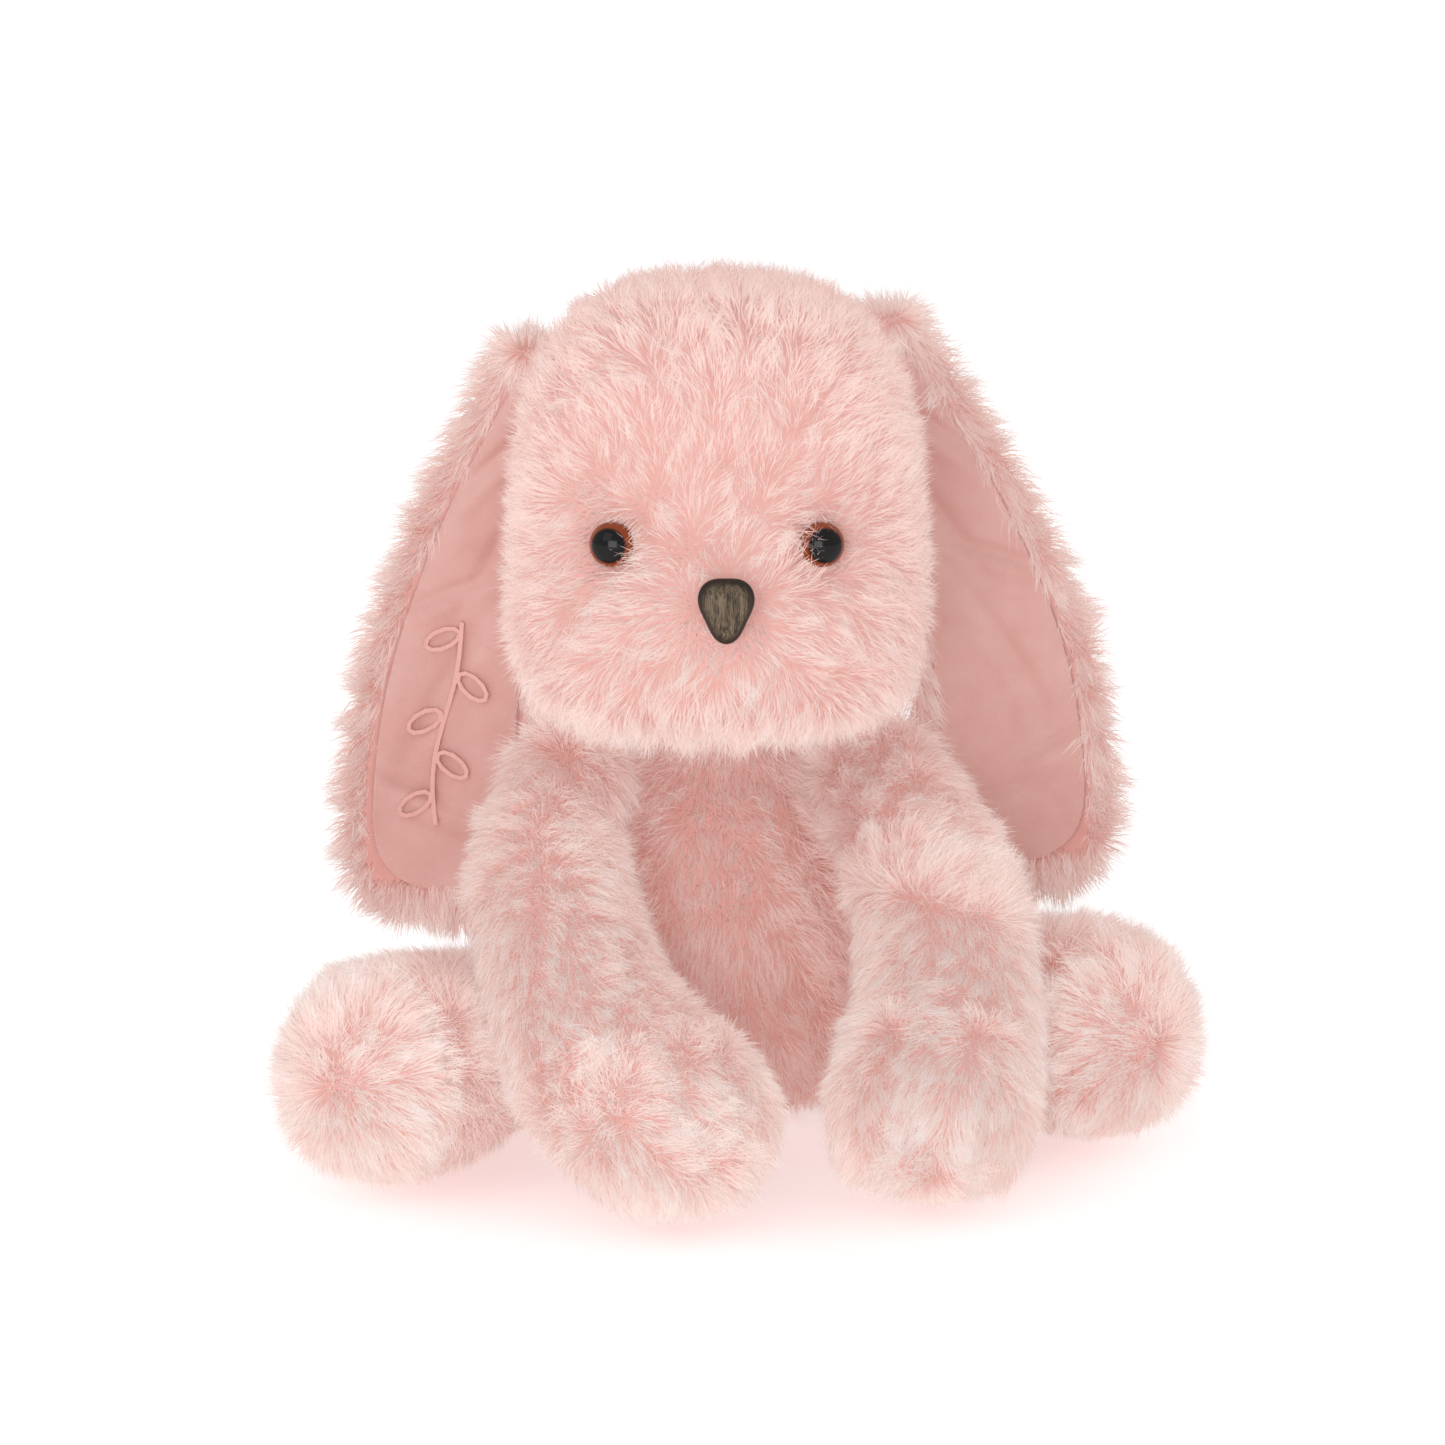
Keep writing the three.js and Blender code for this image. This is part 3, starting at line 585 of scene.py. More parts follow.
@dataclass
class FurCoat:
    """A coat of strands on one surface. Each strand is a thin blade of two steps."""

    name: str
    seed: int
    strands: int
    length: float = 10.0 * MM
    width: float = 0.32 * MM
    lean: float = 0.62
    scatter: float = 0.2
    swirl: float = 0.42
    wander: float = 0.35
    clump: float = 1.8 * MM
    floor: float = 0.25 * MM

    def grow(self, surface: Surface, comb: Comb, finish: FurFinish) -> bpy.types.Object:
        """Grows the coat.

        Args:
            surface: What the roots stand on.
            comb: Gives the pile's lie from roots and normals.
            finish: The strands' finish.

        Returns:
            One object that holds every strand.
        """
        rng = np.random.default_rng(self.seed)
        thin = 1
        roots, normals = surface.scatter(rng, self.strands // thin)
        lie = comb(roots, normals)
        jitter = rng.normal(size=(2, len(roots), 3))
        chance = rng.random((3, len(roots)))
        kept = lie.keep
        roots, normals, jitter, chance = roots[kept], normals[kept], jitter[:, kept], chance[:, kept]
        flow, reach, shade = lie.flow[kept], lie.length[kept], lie.shade[kept]
        width = self.width * (0.7 + 0.6 * chance[0])[:, None] * math.sqrt(thin)

        swirl = WaveField(self.seed + 1, 17 * MM).slope(roots)
        swirl = swirl + 0.6 * WaveField(self.seed + 2, 8 * MM).slope(roots)
        drift = WaveField(self.seed + 6, 62 * MM, 12).slope(roots)
        flow = unit(flow) + self.swirl * swirl + self.wander * drift
        flow = flow - dot(flow, normals) * normals
        strength = np.minimum(np.linalg.norm(flow, axis=1, keepdims=True), 1.25)
        flow = unit(flow) * strength
        length = (self.length * reach * (0.78 + 0.44 * chance[1]))[:, None]
        locks = WaveField(self.seed + 3, 7.5 * MM)
        gather = locks.slope(roots) + 0.5 * WaveField(self.seed + 4, 3.4 * MM).slope(roots)
        gather = self.clump * (gather - dot(gather, normals) * normals)

        early = unit(normals + 0.85 * self.lean * flow + self.scatter * jitter[0])
        late = unit((1.0 - 0.62 * self.lean) * normals + 1.25 * self.lean * flow + self.scatter * jitter[1])
        base = roots - 0.6 * MM * normals
        knee = base + early * length * 0.48 + 0.35 * gather
        tip = knee + late * length * 0.52 + 0.85 * gather
        across = unit(np.cross(early, normals + 0.5 * jitter[1])) * width

        points = np.stack([base - across / 2, base + across / 2,
                           knee - 0.46 * across, knee + 0.46 * across, tip], 1)
        points[..., 2] = np.maximum(points[..., 2], self.floor)
        spread = WaveField(self.seed + 5, 24 * MM).value(roots)
        # Tone follows the locks: paler on their ridges and deeper in the partings between them, partly the
        # deeper pile showing through and partly painted shade.
        tone = shade + 0.10 * spread + 0.13 * locks.value(roots) + 0.10 * (chance[2] - 0.5) * 2
        tone = np.clip(tone, 0.02, 0.98)
        return self.assemble(points, tone, finish)

    def assemble(self, points: np.ndarray, tone: np.ndarray, finish: FurFinish) -> bpy.types.Object:
        """Turns the strands' points into one mesh with its map. Light passes the pile without a shadow.

        Args:
            points: Five points for each strand.
            tone: Each strand's shade, from 0, deep, to 1, pale.
            finish: The strands' finish.

        Returns:
            The object.
        """
        count = len(points)
        first = np.arange(count)[:, None] * 5
        loops = (first + np.array([0, 1, 3, 2, 2, 3, 4])).astype(np.int32)
        mesh = bpy.data.meshes.new(self.name)
        mesh.vertices.add(count * 5)
        mesh.vertices.foreach_set("co", points.astype(np.float32).ravel())
        mesh.loops.add(count * 7)
        mesh.loops.foreach_set("vertex_index", loops.ravel())
        mesh.polygons.add(count * 2)
        starts = (np.arange(count)[:, None] * 7 + np.array([0, 4])).astype(np.int32)
        mesh.polygons.foreach_set("loop_start", starts.ravel())
        mesh.update(calc_edges=True)
        mesh.polygons.foreach_set("use_smooth", np.ones(count * 2, bool))
        half = 0.012
        across = tone[:, None] + np.array([-half, half, half, -half, -half, half, 0.0])
        along = np.broadcast_to(np.array([0.0, 0.0, 0.5, 0.5, 0.5, 0.5, 1.0]), (count, 7))
        layer = mesh.uv_layers.new(name=STRAND_MAP)
        layer.data.foreach_set("uv", np.stack([across, along], 2).astype(np.float32).ravel())
        obj = bpy.data.objects.new(self.name, mesh)
        bpy.context.scene.collection.objects.link(obj)
        obj.data.materials.append(finish.material())
        obj.visible_shadow = False
        obj.visible_diffuse = False
        return obj


# ------------------------------------------------------------------ stuffed bodies
@dataclass
class StuffedBody:
    """A sewn cloth form with filling in it, taken from its CAD solids and blown up by a cloth simulation."""

    name: str
    body: str
    skin: str
    filling: str
    pile: float = 4.2 * MM
    voxel: float = 4.0 * MM
    pressure: float = 4.0
    cap: float = 2.5 * MM
    fill: float = 0.7
    sculpt: Callable[[np.ndarray], np.ndarray] | None = None

    def build(self, cloth: bpy.types.Material, wadding: bpy.types.Material) -> bpy.types.Object:
        """Makes the cloth form and the filling inside it, and puts both on their body.

        Args:
            cloth: The backing cloth's material.
            wadding: The filling's material.

        Returns:
            The cloth form, which the fur grows on.
        """
        form = self.envelope()
        if self.sculpt:
            set_points(form, self.sculpt(mesh_points(form)))
        outline = BVHTree.FromPolygons(mesh_points(form).tolist(), [f.vertices for f in form.data.polygons])
        self.inset(form, self.pile + 0.6 * self.cap)
        self.inflate(form)
        apply_modifier(form, "SUBSURF", levels=1)
        relax(form, 2)
        smooth(form)
        form.data.materials.clear()
        form.data.materials.append(cloth)
        core = form.copy()
        core.data = form.data.copy()
        core.name = core.data.name = self.name + "_stuffing"
        bpy.context.scene.collection.objects.link(core)
        self.inset(core, 1.6 * MM)
        keep_inside(core, outline, self.pile + 0.2 * MM)
        core.data.materials.clear()
        core.data.materials.append(wadding)
        for piece, node, slot in ((form, self.skin, "fur"), (core, self.filling, "filling")):
            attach(piece, self.body)
            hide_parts(node)
        return form

    def envelope(self) -> bpy.types.Object:
        """The outer form of the skin and its filling together, as one even mesh."""
        joined = bmesh.new()
        for node in (self.skin, self.filling):
            joined.from_mesh(frame["nodes"][node].data)
        mesh = bpy.data.meshes.new(self.name + "_backing")
        joined.to_mesh(mesh)
        joined.free()
        form = bpy.data.objects.new(self.name + "_backing", mesh)
        bpy.context.scene.collection.objects.link(form)
        apply_modifier(form, "REMESH", mode="VOXEL", voxel_size=self.voxel)
        keep_largest(form)
        relax(form, 6)
        return form

    def inset(self, form: bpy.types.Object, depth: float) -> None:
        """Moves a form's surface in by a depth, a step at a time so that it stays even."""
        steps = max(1, round(depth / (2 * MM)))
        for _ in range(steps):
            set_points(form, mesh_points(form) - mesh_normals(form) * (depth / steps))
            relax(form, 1, 0.35)

    def inflate(self, form: bpy.types.Object) -> None:
        """Blows the form up as stretched cloth, and keeps every point within the cap of where it was."""
        start = mesh_points(form)
        modifier = form.modifiers.new("Cloth", "CLOTH")
        settings = modifier.settings
        settings.use_pressure = True
        settings.uniform_pressure_force = self.pressure
        settings.effector_weights.gravity = 0.0
        settings.quality = 5
        settings.tension_stiffness = 15.0
        settings.compression_stiffness = 15.0
        settings.bending_stiffness = 0.5
        modifier.point_cache.frame_end = SIMULATED_FRAMES
        for number in range(1, SIMULATED_FRAMES + 1):
            bpy.context.scene.frame_set(number)
        evaluated = form.evaluated_get(bpy.context.evaluated_depsgraph_get())
        flat = np.empty(len(start) * 3)
        evaluated.data.vertices.foreach_get("co", flat)
        form.modifiers.clear()
        moved = flat.reshape(-1, 3) - start
        size = np.linalg.norm(moved, axis=1, keepdims=True)
        moved *= np.minimum(1, self.cap / np.maximum(size, 1e-9))
        set_points(form, start + np.nan_to_num(moved))
        bpy.context.scene.frame_set(1)


SIMULATED_FRAMES = 20


def keep_largest(obj: bpy.types.Object) -> None:
    """Deletes all but the largest connected part of a mesh."""
    edit = bmesh.new()
    edit.from_mesh(obj.data)
    edit.verts.ensure_lookup_table()
    seen = np.zeros(len(edit.verts), bool)
    best: list[bmesh.types.BMVert] = []
    for start in edit.verts:
        if seen[start.index]:
            continue
        seen[start.index] = True
        part, waiting = [], [start]
        while waiting:
            vert = waiting.pop()
            part.append(vert)
            for edge in vert.link_edges:
                other = edge.other_vert(vert)
                if not seen[other.index]:
                    seen[other.index] = True
                    waiting.append(other)
        if len(part) > len(best):
            best = part
    keep = {vert.index for vert in best}
    bmesh.ops.delete(edit, geom=[v for v in edit.verts if v.index not in keep], context="VERTS")
    edit.to_mesh(obj.data)
    edit.free()


def keep_inside(inner: bpy.types.Object, outline: BVHTree, depth: float) -> None:
    """Draws an inner form back from the thin places of the outer one.

    Args:
        inner: The form that is changed.
        outline: The outer form's surface.
        depth: How far under that surface the inner form stays.
    """
    points = mesh_points(inner)
    shown = np.zeros(len(points), bool)
    for number, point in enumerate(points):
        near, normal, _, _ = outline.find_nearest(Vector(point))
        shown[number] = (Vector(point) - near).dot(normal) > -depth
    edges = np.empty(len(inner.data.edges) * 2, np.int64)
    inner.data.edges.foreach_get("vertices", edges)
    ends = edges.reshape(-1, 2)
    ends = np.concatenate([ends, ends[:, ::-1]])
    ends = ends[shown[ends[:, 0]]]
    count = np.maximum(np.bincount(ends[:, 0], minlength=len(points)), 1)[:, None]
    for _ in range(DRAW_BACK_STEPS):
        total = np.stack([np.bincount(ends[:, 0], points[ends[:, 1], axis], len(points))
                          for axis in range(3)], 1)
        points[shown] = (total / count)[shown]
    set_points(inner, points)


DRAW_BACK_STEPS = 150


def wear(coat: bpy.types.Object, body: str) -> None:
    """Puts a coat of fur on a body."""
    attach(coat, body)


FUR = FurFinish("long_pile", roughness=0.9, sheen=0.1, sheen_tint=(1.0, 0.80, 0.77), specular=0.15)
BACKING = NapFinish("backing_cloth", roughness=0.95, low=(0.68, 0.34, 0.30), high=(0.73, 0.40, 0.36))
WADDING = NapFinish("wadding", roughness=1.0, low=(0.74, 0.72, 0.68), high=(0.86, 0.85, 0.82), patch=240.0)
BEAN_BAG = NapFinish("bean_bag_cloth", roughness=0.9, low=(0.55, 0.50, 0.42), high=(0.66, 0.61, 0.53))
# Painted shade: the velvet's colours are its own pink darkened to stand in for the shadow of the ear's fur,
# which casts none.
VELVET = NapFinish("velvet", roughness=0.85, sheen=0.35, sheen_tint=(1.0, 0.72, 0.66),
                   low=(0.61, 0.33, 0.295), high=(0.67, 0.41, 0.37), patch=60.0, fibre=2600.0, relief=0.35)
SATIN = SatinFinish("nose_satin", roughness=0.5, specular=0.25)
LENS = LensFinish("eye_lens", roughness=0.12, specular=0.25)
IRIS = MouldedFinish("eye_iris", roughness=0.3, low=(0.14, 0.03, 0.01), high=(0.2, 0.05, 0.015))
NYLON = MouldedFinish("natural_nylon", roughness=0.5, low=(0.72, 0.70, 0.63), high=(0.8, 0.78, 0.72))
THREAD = ThreadFinish("embroidery_thread", roughness=0.5, sheen=0.3)


# ------------------------------------------------------------------ the torso
@dataclass
class Torso:
    """The seated body with its tail, and the bag of beans in the seat."""

    strands: int = 62000
    tail_strands: int = 13000

    def build(self, cloth: bpy.types.Material, wadding: bpy.types.Material) -> None:
        """Makes the torso and tail with their coats."""
        form = StuffedBody("torso", "torso", "torso_skin", "torso_filling", fill=0.6, sculpt=self.crease)
        surface = Surface.of(form.build(cloth, wadding))
        wear(FurCoat("torso_fur", 11, self.strands, clump=2.0 * MM).grow(surface, self.comb, FUR), "torso")
        tail = StuffedBody("tail", "torso", "tail_skin", "tail_filling", voxel=2.5 * MM, cap=1.0 * MM)
        surface = Surface.of(tail.build(cloth, wadding))
        coat = FurCoat("tail_fur", 17, self.tail_strands, lean=0.35, length=11 * MM)
        wear(coat.grow(surface, self.comb_tail, FUR), "torso")
        frame["nodes"]["bean_pouch"].data.materials.clear()
        frame["nodes"]["bean_pouch"].data.materials.append(BEAN_BAG.material())

    @staticmethod
    def crease(points: np.ndarray) -> np.ndarray:
        """Presses a soft fold across the belly, where the seated body bends."""
        low, high = node_box("torso_skin")
        fold = low[2] + 0.42 * (high[2] - low[2])
        front = ramp(-points[:, 1], 0.0, 30 * MM)
        depth = 3.5 * MM * front * np.exp(-(((points[:, 2] - fold) / (7 * MM)) ** 2))
        moved = points.copy()
        moved[:, 1] += depth
        return moved

    @staticmethod
    def comb(roots: np.ndarray, normals: np.ndarray) -> Combing:
        """The pile hangs down the body and turns in under the seat."""
        low, high = node_box("torso_skin")
        flow = np.tile([0.0, 0.0, -1.0], (len(roots), 1))
        lie = Combing.even(flow)
        height = (roots[:, 2] - low[2]) / (high[2] - low[2])
        # Painted shade: the pile is painted deeper toward the bottom of the body, where the arms shade the
        # belly.
        lie.shade = 0.12 + 0.55 * ramp(height, 0.3, 0.8)
        lie.length = 0.35 + 0.65 * ramp(roots[:, 2], 8 * MM, 22 * MM)
        underside = (normals[:, 2] < -0.75) & (np.linalg.norm(roots[:, :2], axis=1) < 38 * MM)
        lie.keep = ~underside
        return lie

    @staticmethod
    def comb_tail(roots: np.ndarray, normals: np.ndarray) -> Combing:
        """The tail's pile stands out all round and droops a little."""
        lie = Combing.even(normals + np.array([0.0, 0.3, -0.7]))
        lie.shade = np.full(len(roots), 0.72)
        return lie


# ------------------------------------------------------------------ the limbs
@dataclass
class Limb:
    """An arm or a leg: a stuffed sleeve from its root on the torso to a paw or foot on the ground."""

    kind: str
    joint: str
    side: Side
    seed: int
    strands: int
    droop: float
    radiate: float
    lean: float
    wander: float

    def build(self, cloth: bpy.types.Material, wadding: bpy.types.Material) -> None:
        """Makes the limb with its coat."""
        name = f"{self.kind}_{self.side.word}"
        form = StuffedBody(name, name, f"{self.kind}_skin_{self.side.word}",
                           f"{self.kind}_filling_{self.side.word}")
        backing = form.build(cloth, wadding)
        self.root = joint_point(self.joint)
        points = mesh_points(backing)
        away = np.linalg.norm(points - self.root, axis=1)
        far = points[away > np.quantile(away, 0.93)].mean(0)
        self.reach = np.linalg.norm(far - self.root)
        self.end = self.root + (far - self.root) * 0.86
        self.middle = self.middle_line(points)
        coat = FurCoat(name + "_fur", self.seed, self.strands, lean=self.lean, wander=self.wander)
        wear(coat.grow(Surface.of(backing), self.comb, FUR), name)

    def middle_line(self, points: np.ndarray, steps: int = 9) -> np.ndarray:
        """The limb's own middle, as the mean of slices at growing distance from its root."""
        away = np.linalg.norm(points - self.root, axis=1)
        edges = np.linspace(0.1 * self.reach, self.reach, steps + 1)
        slices = [points[(away >= a) & (away < b)] for a, b in zip(edges, edges[1:])]
        return np.array([self.root] + [s.mean(0) for s in slices if len(s)])

    def comb(self, roots: np.ndarray, normals: np.ndarray) -> Combing:
        """The pile runs down the limb, hangs a little, and stars out from the middle of the paw or foot."""
        spans = unit(np.diff(self.middle, axis=0))
        nearest = np.argmin(np.linalg.norm(roots[:, None] - self.middle[None, :-1], axis=2), axis=1)
        along = spans[np.minimum(nearest, len(spans) - 1)]
        tip = self.middle[-1] + spans[-1] * 14 * MM
        star = roots - tip
        star = unit(star - dot(star, normals) * normals)
        near_end = ramp(-np.linalg.norm(roots - tip, axis=1), -46 * MM, -22 * MM)[:, None] * self.radiate
        flow = (1 - near_end) * along + near_end * star
        flow = flow + self.droop * np.array([0.0, 0.0, -1.0])
        lie = Combing.even(flow)
        lie.length = 0.4 + 0.6 * ramp(roots[:, 2], 7 * MM, 20 * MM)
        lie.length = lie.length + 0.35 * ramp(roots[:, 2], 98 * MM, 115 * MM)
        # Painted light: arms and legs are painted paler than the head, making up for the lesser light that
        # falls on them.
        lie.shade = np.full(len(roots), 0.88)
        lie.keep = np.linalg.norm(roots - self.root, axis=1) > 6 * MM
        return lie


# ------------------------------------------------------------------ the head
@dataclass
class Head:
    """The boxy head with its muzzle, eyes and nose."""

    face_strands: int = 64000
    crown_strands: int = 64000
    eye_radius: float = 6.2 * MM
    eye_dome: float = 4.9 * MM
    lens_parts: int = 48

    def build(self, cloth: bpy.types.Material, wadding: bpy.types.Material) -> None:
        """Makes the head, its coats, the eyes and the nose."""
        self.find_face()
        form = StuffedBody("head", "head", "head_skin", "head_filling", fill=0.85, sculpt=self.sculpt)
        surface = Surface.of(form.build(cloth, wadding))
        face = FurCoat("face_fur", 23, self.face_strands, length=8.5 * MM, swirl=0.75, wander=0.8,
                       width=0.27 * MM)
        wear(face.grow(surface, self.comb_face, FUR), "head")
        crown = FurCoat("crown_fur", 29, self.crown_strands, length=8.5 * MM, swirl=0.95, clump=2.1 * MM)
        wear(crown.grow(surface, self.comb_crown, FUR), "head")
        for side in Side:
            self.eye(side)
        self.nose()

    def find_face(self) -> None:
        """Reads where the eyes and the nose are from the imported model."""
        self.low, self.high = node_box("head_skin")
        self.middle = (self.low + self.high) / 2
        low, high = node_box("nose_cover")
        self.nose_low, self.nose_high = low, high
        self.nose_at = (low + high) / 2
        self.eye_at, self.eye_look = {}, {}
        for side in Side:
            lens = frame["nodes"][f"eye_lens_{side.word}"]
            post = frame["nodes"][f"eye_post_{side.word}"]
            centre = mesh_points(lens).mean(0)
            self.eye_look[side] = unit(centre - mesh_points(post).mean(0))
            reach = (mesh_points(lens) - centre) @ self.eye_look[side]
            self.eye_at[side] = centre + self.eye_look[side] * reach.min()

    def sculpt(self, points: np.ndarray) -> np.ndarray:
        """Presses a dimple in at each eye, and lets the cheeks and chin sag."""
        moved = points.copy()
        front = points[:, 1] < self.middle[1]
        for side in Side:
            away = np.linalg.norm((points - self.eye_at[side])[:, [0, 2]], axis=1)
            moved[:, 1] += 1.2 * MM * front * np.exp(-((away / (10 * MM)) ** 2))
        low = ramp(-(points[:, 2] - self.low[2]), -24 * MM, -4 * MM)
        outer = ramp(np.linalg.norm((points - self.middle)[:, :2], axis=1), 24 * MM, 36 * MM)
        moved[:, 2] -= 3.5 * MM * low * outer
        return moved

    def front_share(self, roots: np.ndarray) -> np.ndarray:
        """1 on the face and 0 on the crown and back, with a soft border."""
        facing = -(roots[:, 1] - self.middle[1]) / (self.high[1] - self.low[1])
        height = (roots[:, 2] - self.low[2]) / (self.high[2] - self.low[2])
        return ramp(facing - 0.35 * ramp(height, 0.55, 0.9), -0.02, 0.16)

    def flow(self, roots: np.ndarray) -> np.ndarray:
        """Pile direction: away from the nose over the face, and hanging on the cheeks and chin."""
        away = roots - self.nose_at
        low = ramp(-(roots[:, 2] - self.nose_at[2]), -10 * MM, 30 * MM)[:, None]
        return unit(away) + low * np.array([0.0, 0.0, -0.75])

    def comb_face(self, roots: np.ndarray, normals: np.ndarray) -> Combing:
        """The face's pile, short and parted round the eyes and nose."""
        lie = Combing.even(self.flow(roots))
        rng = np.random.default_rng(5)
        lie.keep = rng.random(len(roots)) < self.front_share(roots)
        muzzle = np.exp(-((np.linalg.norm(roots - self.nose_at, axis=1) / (34 * MM)) ** 2))
        low = ramp(-(roots[:, 2] - self.nose_at[2]), 0.0, 40 * MM)
        lie.shade = 0.40 + 0.32 * np.maximum(muzzle, 0.9 * low)
        height = (roots[:, 2] - self.low[2]) / (self.high[2] - self.low[2])
        lie.length *= 1 + 0.4 * ramp(-height, -0.12, -0.02)
        self.part_round_features(lie, roots)
        return lie

    def comb_crown(self, roots: np.ndarray, normals: np.ndarray) -> Combing:
        """The crown's and the back's pile, curlier and deeper in colour."""
        lie = Combing.even(0.75 * self.flow(roots))
        rng = np.random.default_rng(6)
        lie.keep = rng.random(len(roots)) < 1 - self.front_share(roots)
        height = (roots[:, 2] - self.low[2]) / (self.high[2] - self.low[2])
        lie.shade = 0.50 - 0.16 * ramp(height, 0.6, 0.95)
        lie.length *= 1 + 0.4 * ramp(-height, -0.12, -0.02)
        self.part_round_features(lie, roots)
        return lie

    def part_round_features(self, lie: Combing, roots: np.ndarray) -> None:
        """Clears and parts the pile round each eye and the nose."""
        for side in Side:
            off = roots - self.eye_at[side]
            off = off - (off @ self.eye_look[side])[:, None] * self.eye_look[side]
            away = np.linalg.norm(off, axis=1)
            front = roots[:, 1] < self.middle[1]
            outer = ramp(off @ np.array([side.value, 0.0, -0.25]), -3 * MM, 4 * MM)
            lie.keep &= ~(front & (away < self.eye_radius - 0.8 * MM - 2.0 * MM * (1 - outer)))
            near = (front * outer * np.exp(-(((away - self.eye_radius) / (5 * MM)) ** 2)))[:, None]
            inner = front * (1 - outer) * np.exp(-(((away - self.eye_radius) / (5 * MM)) ** 2))
            lie.flow += (1.0 * near - 1.4 * inner[:, None]) * unit(off)
            lie.length *= (1 - 0.35 * near[:, 0]) * (1 + 0.3 * inner)
        off = roots - self.nose_at
        away = np.linalg.norm(off[:, [0, 2]], axis=1)
        front = roots[:, 1] < self.middle[1]
        lie.keep &= ~(front & (away < 6.2 * MM))
        near = front * np.exp(-(((away - 6 * MM) / (8 * MM)) ** 2))
        lie.length *= 1 - 0.5 * near

    def eye(self, side: Side) -> None:
        """Makes a polished dome, and dresses the disc, post and washer behind it."""
        rings, sides = 14, self.lens_parts
        angles = np.linspace(0, math.pi / 2, rings)
        look = self.eye_look[side]
        right = unit(np.cross(look, [0.0, 0.0, 1.0]))
        up = np.cross(right, look)
        points, flat = [], []
        turn = np.linspace(0, 2 * math.pi, sides, endpoint=False)
        for angle in angles[:-1]:
            r, h = self.eye_radius * math.cos(angle), self.eye_dome * math.sin(angle)
            for t in turn:
                points.append(self.eye_at[side] + r * (math.cos(t) * right + math.sin(t) * up) + h * look)
                reach = 0.5 * (1 - angle / (math.pi / 2))
                flat.append((0.5 + reach * math.cos(t), 0.5 + reach * math.sin(t)))
        points.append(self.eye_at[side] + self.eye_dome * look)
        flat.append((0.5, 0.5))
        top = len(points) - 1
        points.append(self.eye_at[side])
        flat.append((0.5, 0.98))
        faces: list[tuple[int, ...]] = []
        for i in range(rings - 2):
            for j in range(sides):
                k = (j + 1) % sides
                faces.append((i * sides + j, i * sides + k, (i + 1) * sides + k, (i + 1) * sides + j))
        last = (rings - 2) * sides
        for j in range(sides):
            k = (j + 1) % sides
            faces.append((last + j, last + k, top))
            faces.append((k, j, top + 1))
        lens = new_object(f"eye_dome_{side.word}", np.array(points), faces)
        smooth(lens)
        layer = lens.data.uv_layers.new(name=STRAND_MAP)
        for loop in lens.data.loops:
            layer.data[loop.index].uv = flat[loop.vertex_index]
        lens.data.materials.append(LENS.material())
        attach(lens, "head")
        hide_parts(f"eye_lens_{side.word}")
        for node, finish in (("eye_post_", IRIS), ("eye_washer_", NYLON)):
            mesh = frame["nodes"][node + side.word].data
            mesh.materials.clear()
            mesh.materials.append(finish.material())

    def nose(self) -> None:
        """Makes the padded satin triangle, and a small pad of filling behind it."""
        half = (self.nose_high - self.nose_low) / 2
        rings, sides = 26, 64
        shapes = (("nose_patch", 1.0, 0.0, "nose_cover", "nose_satin", SATIN.material()),
                  ("nose_pad", 0.86, 1.0 * MM, "nose_filling", "filling", WADDING.material()))
        for name, size, back, node, slot, material in shapes:
            points = []
            for i in range(rings + 1):
                t = math.pi * i / rings
                for j in range(sides):
                    a = 2 * math.pi * j / sides
                    points.append(self.nose_point(half * size, t, a) + np.array([0.0, back, 0.0]))
            faces = []
            for i in range(rings):
                for j in range(sides):
                    k = (j + 1) % sides
                    faces.append((i * sides + j, i * sides + k, (i + 1) * sides + k, (i + 1) * sides + j))
            piece = new_object(name, np.array(points), faces)
            layer = piece.data.uv_layers.new(name=STRAND_MAP)
            for loop in piece.data.loops:
                ring, turn = divmod(loop.vertex_index, sides)
                layer.data[loop.index].uv = (math.sin(math.pi * ring / rings), turn / sides)
            edit = bmesh.new()
            edit.from_mesh(piece.data)
            bmesh.ops.remove_doubles(edit, verts=edit.verts, dist=1e-6)
            bmesh.ops.recalc_face_normals(edit, faces=edit.faces)
            edit.to_mesh(piece.data)
            edit.free()
            smooth(piece)
            piece.data.materials.append(material)
            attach(piece, "head")
            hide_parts(node)

    def nose_point(self, half: np.ndarray, t: float, a: float) -> np.ndarray:
        """A point of the nose: t runs from its front to its back, a goes round it."""
        ring = max(0.0, math.sin(t)) ** 0.8
        low = max(0.0, -math.sin(a))
        corner = 1 + 0.1 * math.cos(3 * (a + math.pi / 2)) + 0.12 * low ** 6
        x = half[0] * ring * corner * math.cos(a) * 0.93
        z = half[2] * ring * corner * math.sin(a)
        y = -(half[1] + 1.2 * MM) * math.cos(t)
        return self.nose_at + np.array([x, y, z + 0.4 * MM])


